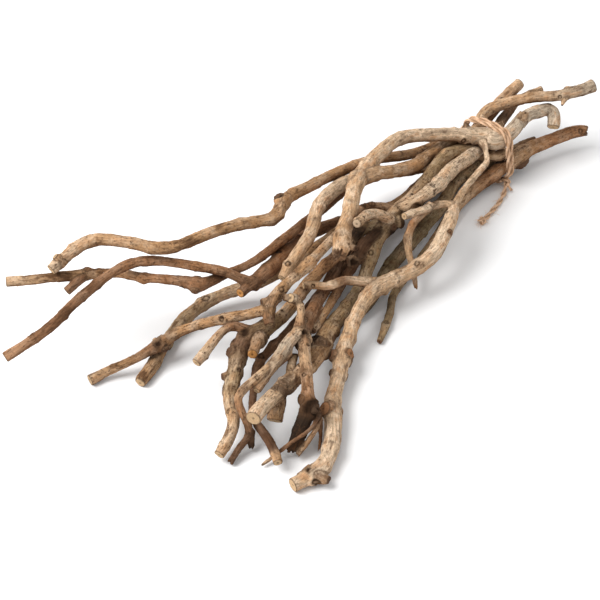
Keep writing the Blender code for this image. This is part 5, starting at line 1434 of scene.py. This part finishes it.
def jute_material():
    """Return the twine's material: dull golden fibres with painted shade in the hollows between the plies.
    """
    material, tree, shader = new_material("golden_jute")
    place = node(tree, "ShaderNodeTexCoord", (-1100, 0))
    tone = node(tree, "ShaderNodeTexNoise", (-800, 200), Scale=260.0, Detail=3.0)
    hairs = node(tree, "ShaderNodeTexNoise", (-800, -100), Scale=2200.0, Detail=4.0, Roughness=0.7)
    for texture in (tone, hairs):
        tree.links.new(place.outputs["Object"], texture.inputs["Vector"])
    depth = node(tree, "ShaderNodeAttribute", (-800, -400))
    depth.attribute_name = "depth"
    base = coloured(tree, (-500, 200), ranged(tree, (-600, 300), tone.outputs["Fac"], 0.35, 0.65, 0.0, 1.0),
                    JUTE_DULL, JUTE_LIGHT)
    hairy = coloured(tree, (-300, 150), ranged(tree, (-600, 0), hairs.outputs["Fac"], 0.5, 0.68, 0.0, 0.6),
                     base, JUTE_HAIR)
    hollow_shaded = coloured(tree, (-100, 100), depth.outputs["Fac"], hairy, JUTE_HOLLOW_SHADE)
    bump = node(tree, "ShaderNodeBump", (-200, -300), Strength=0.6, Distance=0.0004)
    tree.links.new(hairs.outputs["Fac"], bump.inputs["Height"])
    tree.links.new(hollow_shaded, shader.inputs["Base Color"])
    tree.links.new(bump.outputs["Normal"], shader.inputs["Normal"])
    shader.inputs["Roughness"].default_value = JUTE_ROUGHNESS
    shader.inputs["Specular IOR Level"].default_value = JUTE_SPECULAR
    return material


def laid_strands(line, radius):
    """Return the strands of two plies laid round each other along a line, and their radius."""
    length = run_length(line)
    _, side, other = carried_frame(line)
    ply_offset = radius * 0.45
    strand_offset = radius * 0.31
    strand_radius = radius * 0.25
    strands = []
    for ply in range(2):
        turn = 2 * math.pi * length / PLY_LAY + math.pi * ply
        middle = line + ply_offset * (np.cos(turn)[:, None] * side + np.sin(turn)[:, None] * other)
        for strand in range(STRANDS):
            twist = -2 * math.pi * length / STRAND_LAY + 2 * math.pi * strand / STRANDS
            around = np.cos(twist)[:, None] * side + np.sin(twist)[:, None] * other
            strands.append(middle + strand_offset * around)
    return strands, strand_radius


def twine_piece(name, lines, radius):
    """Return a piece of twine along the given lines, with its hollows marked by depth for the painted shade
    there.
    """
    strands = []
    for line in lines:
        laid, strand_radius = laid_strands(line, radius)
        strands += laid
    piece = tube_lines(name, strands, [strand_radius] * len(strands), 1)
    points = np.array([vertex.co for vertex in piece.data.vertices])
    tree = tree_of(np.vstack(lines))
    reach = np.array([tree.find(point)[2] for point in points])
    # Painted shade: the closer the strand surface lies to the twine's middle, the darker the material makes
    # it
    store(piece.data, "depth", "FLOAT", np.clip(1.25 - reach / radius * 1.35, 0, 0.9))
    return finished(piece, jute)


def loose_fibres(name, line, radius, count, seed, longest=0.009):
    """Return short hairs that stand off a piece of twine."""
    chance = np.random.default_rng(seed)
    ahead, side, other = carried_frame(line)
    hairs = []
    for _ in range(count):
        index = int(chance.integers(1, len(line) - 1))
        angle = chance.uniform(0, 2 * math.pi)
        out = side[index] * math.cos(angle) + other[index] * math.sin(angle)
        way = ahead[index] * chance.choice([-1.0, 1.0]) + out * chance.uniform(0.1, 0.9)
        bend = chance.uniform(-1, 1, 3) * 0.5
        length = chance.uniform(SHORTEST_FIBRE, longest)
        share = np.linspace(0, 1, 5)[:, None]
        hair = line[index] + out * radius * 0.85 + (way * share + bend * share ** 2) * length * 0.7
        hair[:, 2] = np.maximum(hair[:, 2], SURFACE_GAP)
        hairs.append(hair)
    piece = tube_lines(name, hairs, [FIBRE_RADIUS] * len(hairs), 0)
    return finished(piece, jute)


def knot_line(middle, size, strand, lean):
    """Return a closed overhand knot's middle line, no wider than its size."""
    turn = np.linspace(0, 2 * math.pi, 90)
    width = (size / 2 - strand) / 3.0
    knot = np.column_stack([np.sin(turn) + 2 * np.sin(2 * turn), np.cos(turn) - 2 * np.cos(2 * turn),
                            -1.6 * np.sin(3 * turn)]) * width
    about = np.array(Matrix.Rotation(lean, 3, "X") @ Matrix.Rotation(lean * 0.7, 3, "Y"))
    return middle + knot @ about.T


def twine_course(bundle, shift):
    """Return the twine's line round the bundle, tight against the bark."""
    outline = twine_outline(bundle, TWINE_DIAMETER / 2 + 0.3 * TWINE_SLACK)
    loop = even_loop(outline, LOOP_STATIONS)
    count = TWINE_TURNS * LOOP_STATIONS
    pitch = TWINE_DIAMETER + TWINE_GAP * 0.4
    lead = (np.arange(count + 1) / count - 0.5) * TWINE_TURNS * pitch
    lead += 0.0007 * np.sin(np.arange(count + 1) * 0.047)
    course = np.column_stack([bundle.twine_plane + lead, loop[np.arange(count + 1) % LOOP_STATIONS]])
    return softened(resampled(course, TWINE_STEP), 12) + shift


def world_frame(bundle):
    """Return the shift from the routes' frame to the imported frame."""
    outline = twine_turns(bundle)
    low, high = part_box("twine_tie")
    middle = (low[0] + high[0]) / 2 - bundle.twine_plane
    left = high[1] - outline[:, 1].max() - TWINE_DIAMETER / 2
    top = high[2] - outline[:, 2].max() - TWINE_DIAMETER / 2
    return np.array([middle, left, top])


def twig_groups():
    """Return each whole branch's name and the twigs that grow together in it."""
    stem = {}
    for name, (parent, _) in TWIGS.items():
        stem[name] = name if parent is None else stem[parent]
    groups = {}
    for name, root in stem.items():
        groups.setdefault(root, []).append(name)
    return groups


def grown_limb(bundle, name, shift, seed):
    """Return a twig as a limb, started inside what it grows from."""
    places, radii = bundle.twig(name)
    parent = TWIGS[name][0]
    if parent is not None:
        root = bundle.roots[name]
        thickness = bundle.radii[root]
        places = np.vstack([bundle.places[root], places[1:]])
        if np.linalg.norm(places[1] - places[0]) > 2.5 * STEP:
            places = np.vstack([places[:1], (places[:1] + places[1:2]) / 2, places[1:]])
            radii = np.concatenate([radii[:1], radii])
        run = run_length(places)
        flare = 1 + SLIGHT_FLARES.get(name, FLARE) * np.exp(-(run / (1.4 * thickness)) ** 2)
        radii = np.minimum(radii * flare, np.maximum(radii, thickness * 0.95))
    return Limb(name, places + shift, radii, parent is not None, seed, END_WOOD.get(name, CUT_WOOD))


def stub_limb(bundle, number, shift):
    """Return a broken-off side shoot as a limb."""
    name, route = STUBS[number]
    low, high = bundle.spans[name]
    places, radii = route_points(route)
    nearest = low + int(np.linalg.norm(bundle.unmoved[low:high] - places[0], axis=1).argmin())
    places = (places - bundle.unmoved[nearest]) * bundle.growth + bundle.places[nearest]
    places[0] = bundle.places[nearest] + (places[0] - bundle.places[nearest]) * 0.4
    return Limb(name, places + shift, radii, True, number, STUB_WOOD.get(number, DARK),
                tone=STUB_BARK.get(number, KNOB_BARK))


def knob_limb(limb, across, down, stand_off, radius, wood):
    """Return a knob as a short limb from a twig's middle out through its bark."""
    place, outward, _ = scar_place(limb, across, down)
    middle = limb.centre[int(np.linalg.norm(limb.centre - place, axis=1).argmin())]
    tip = place + outward * (stand_off + KNOB_RISE)
    return Limb(limb.name, np.array([middle, (middle + tip) / 2, tip]), np.full(3, radius), True,
                1, wood, tone=(wood + KNOB_BARK) / 2)


bundle = Bundle()
bundle.settle()
bundle.size_up(OVERALL_LENGTH)
shift = world_frame(bundle)
world_eye = EYE * bundle.growth + shift

# Camera
camera_data = bpy.data.cameras.new("camera")
camera_data.sensor_width = SENSOR_WIDTH
camera_data.lens = SENSOR_WIDTH * GRID_DEPTH / (2 * GRID_CENTRE)
camera_data.clip_end = CLIP_END
camera = linked("camera", camera_data)
facing = Matrix((RIGHT, UP, -FORWARD)).transposed()
camera.matrix_world = Matrix.Translation(Vector(world_eye)) @ facing.to_4x4()
bpy.context.scene.camera = camera

# Twine: the free end first, then its knot and turns
jute = jute_material()
turns = twine_turns(bundle)
knot_place = (turns[0] + turns[-1]) / 2 + np.array([0.0, -KNOT_SIZE * 0.25, 0.0])
knot_place[2] = max(knot_place[2], KNOT_SIZE / 2 + TOUCH)
free_end = tail_route(knot_place) + shift
tail_line = softened(resampled(free_end, TWINE_STEP), 16)
tail = twine_piece("twine_free_end", [tail_line], TWINE_DIAMETER / 2 * TWINE_FULLNESS)
end_place = tail_line[-1] + np.array([-0.0012, -0.0006, 0.0014])
end_knot = twine_piece("twine_end_knot", [knot_line(end_place, END_KNOT_SIZE, END_STRAND, 0.4)],
                        END_STRAND)
past_end = end_place[None] + [[-0.002, -0.001, 0]]
tail_fibres = loose_fibres("twine_end_fibres", np.vstack([tail_line, past_end]), TWINE_DIAMETER / 2,
                           count=90, seed=5)
fray_line = resampled(np.array([tail_line[-4], end_place * 2 - tail_line[-4]]), MM / 2)
frayed = loose_fibres("twine_frayed_end", fray_line, 0.003, count=80, seed=6, longest=0.007)
for piece in (tail, end_knot, tail_fibres, frayed):
    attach(piece, "root")
    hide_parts("twine_tail")

course = twine_course(bundle, shift)
knot_middle = knot_place + shift
loose_strand = resampled(np.array([knot_middle, knot_middle + [-0.003, -0.004, -0.001],
                                   knot_middle + [-0.006, -0.011, -0.002]]), TWINE_STEP)
twine = twine_piece("twine_turns", [course], TWINE_DIAMETER / 2 * TWINE_FULLNESS)
tie_knot = twine_piece("twine_knot", [knot_line(knot_middle, KNOT_SIZE, TIE_STRAND, 0.9), loose_strand],
                        TIE_STRAND)
twine_hairs = loose_fibres("twine_fibres", course, TWINE_DIAMETER / 2, count=FIBRES, seed=3)
for piece in (twine, tie_knot, twine_hairs):
    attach(piece, "root")
    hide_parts("twine_tie")

# Bark of each whole branch
weathering = weathering_group()
end_wood = end_wood_group()
BARKS = {
    "bark_tan": bark_material("tan_bark", bleach_and_highlight=0.4, rust=0.85, grime=0.85, speckle=0.75,
                              depth=0.0008),
    "bark_pale": bark_material("pale_worn_wood", bleach_and_highlight=0.55, rust=0.7, grime=0.65, speckle=0.6,
                               depth=0.0007),
    "bark_brown": bark_material("brown_bark", bleach_and_highlight=0.3, rust=0.7, grime=0.85, speckle=0.75,
                                depth=0.0008),
    "bark_olive": bark_material("olive_bark", bleach_and_highlight=0.45, rust=0.75, grime=0.75, speckle=1.0,
                                depth=0.001),
}
ROOT_SLOTS = {
    "long_bent_twig": "bark_tan", "arched_branch": "bark_pale", "knotted_branch": "bark_olive",
    "low_right_branch": "bark_tan", "floor_branch": "bark_olive", "left_middle_twig": "bark_pale",
    "far_left_twig": "bark_brown", "brown_branch": "bark_brown", "tan_floor_twig": "bark_tan",
    "dark_twig": "bark_brown",
}
branches = {}
for root, names in twig_groups().items():
    branches[root] = [grown_limb(bundle, name, shift, 7 + 3 * len(root) + index)
                      for index, name in enumerate(names)]
for root, limbs in branches.items():
    by_name = {limb.name: limb for limb in limbs}
    scars = [(*scar_place(by_name[name], across, down), size * MM, kind)
             for name, marks in SCARS.items() if name in by_name
             for across, down, size, kind in marks]
    for index, limb in enumerate(limbs):
        scars += bud_scars(limb, 100 * len(root) + index)
    shoots = [stub_limb(bundle, number, shift) for number, (name, _) in enumerate(STUBS) if name in by_name]
    for name, across, down, stand_off, radius, wood in KNOBS:
        if name in by_name:
            shoots.append(knob_limb(by_name[name], across, down, stand_off * MM, radius * MM, wood))
    others = [(place, radius) for other, kin in branches.items() if other != root
              for limb in kin for place, radius in zip(limb.centre[::3], limb.radius[::3])]
    skin = rough_skin(root + "_bark", limbs + shoots)
    dress_bark(skin, limbs + shoots, scars, others)
    slot = ROOT_SLOTS.get(root, "bark_tan")
    finished(skin, BARKS[slot])
    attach(skin, "root")
    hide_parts(*by_name)

# Floor and light
floor_mesh = bpy.data.meshes.new("floor")
sheet = bmesh.new()
bmesh.ops.create_grid(sheet, x_segments=1, y_segments=1, size=FLOOR_SIZE)
sheet.to_mesh(floor_mesh)
sheet.free()
floor = linked("floor", floor_mesh)
floor_look, _, floor_shader = new_material("white_floor")
floor_shader.inputs["Base Color"].default_value = FLOOR_WHITE
floor_shader.inputs["Roughness"].default_value = FLOOR_ROUGHNESS
floor_mesh.materials.append(floor_look)

world = bpy.data.worlds.new("studio")
bpy.context.scene.world = world
world.use_nodes = True
sky = world.node_tree.nodes["Background"]
sky.inputs["Color"].default_value = SKY_WHITE
sky.inputs["Strength"].default_value = SKY_STRENGTH
lamp = bpy.data.lights.new("key", "AREA")
lamp.size = KEY_SIZE
lamp.energy = KEY_POWER
key = linked("key", lamp)
aim = Vector(KEY_PLACE).to_track_quat("Z", "Y")
key.matrix_world = Matrix.Translation(KEY_PLACE) @ aim.to_matrix().to_4x4()
bpy.context.scene.view_settings.view_transform = "Standard"
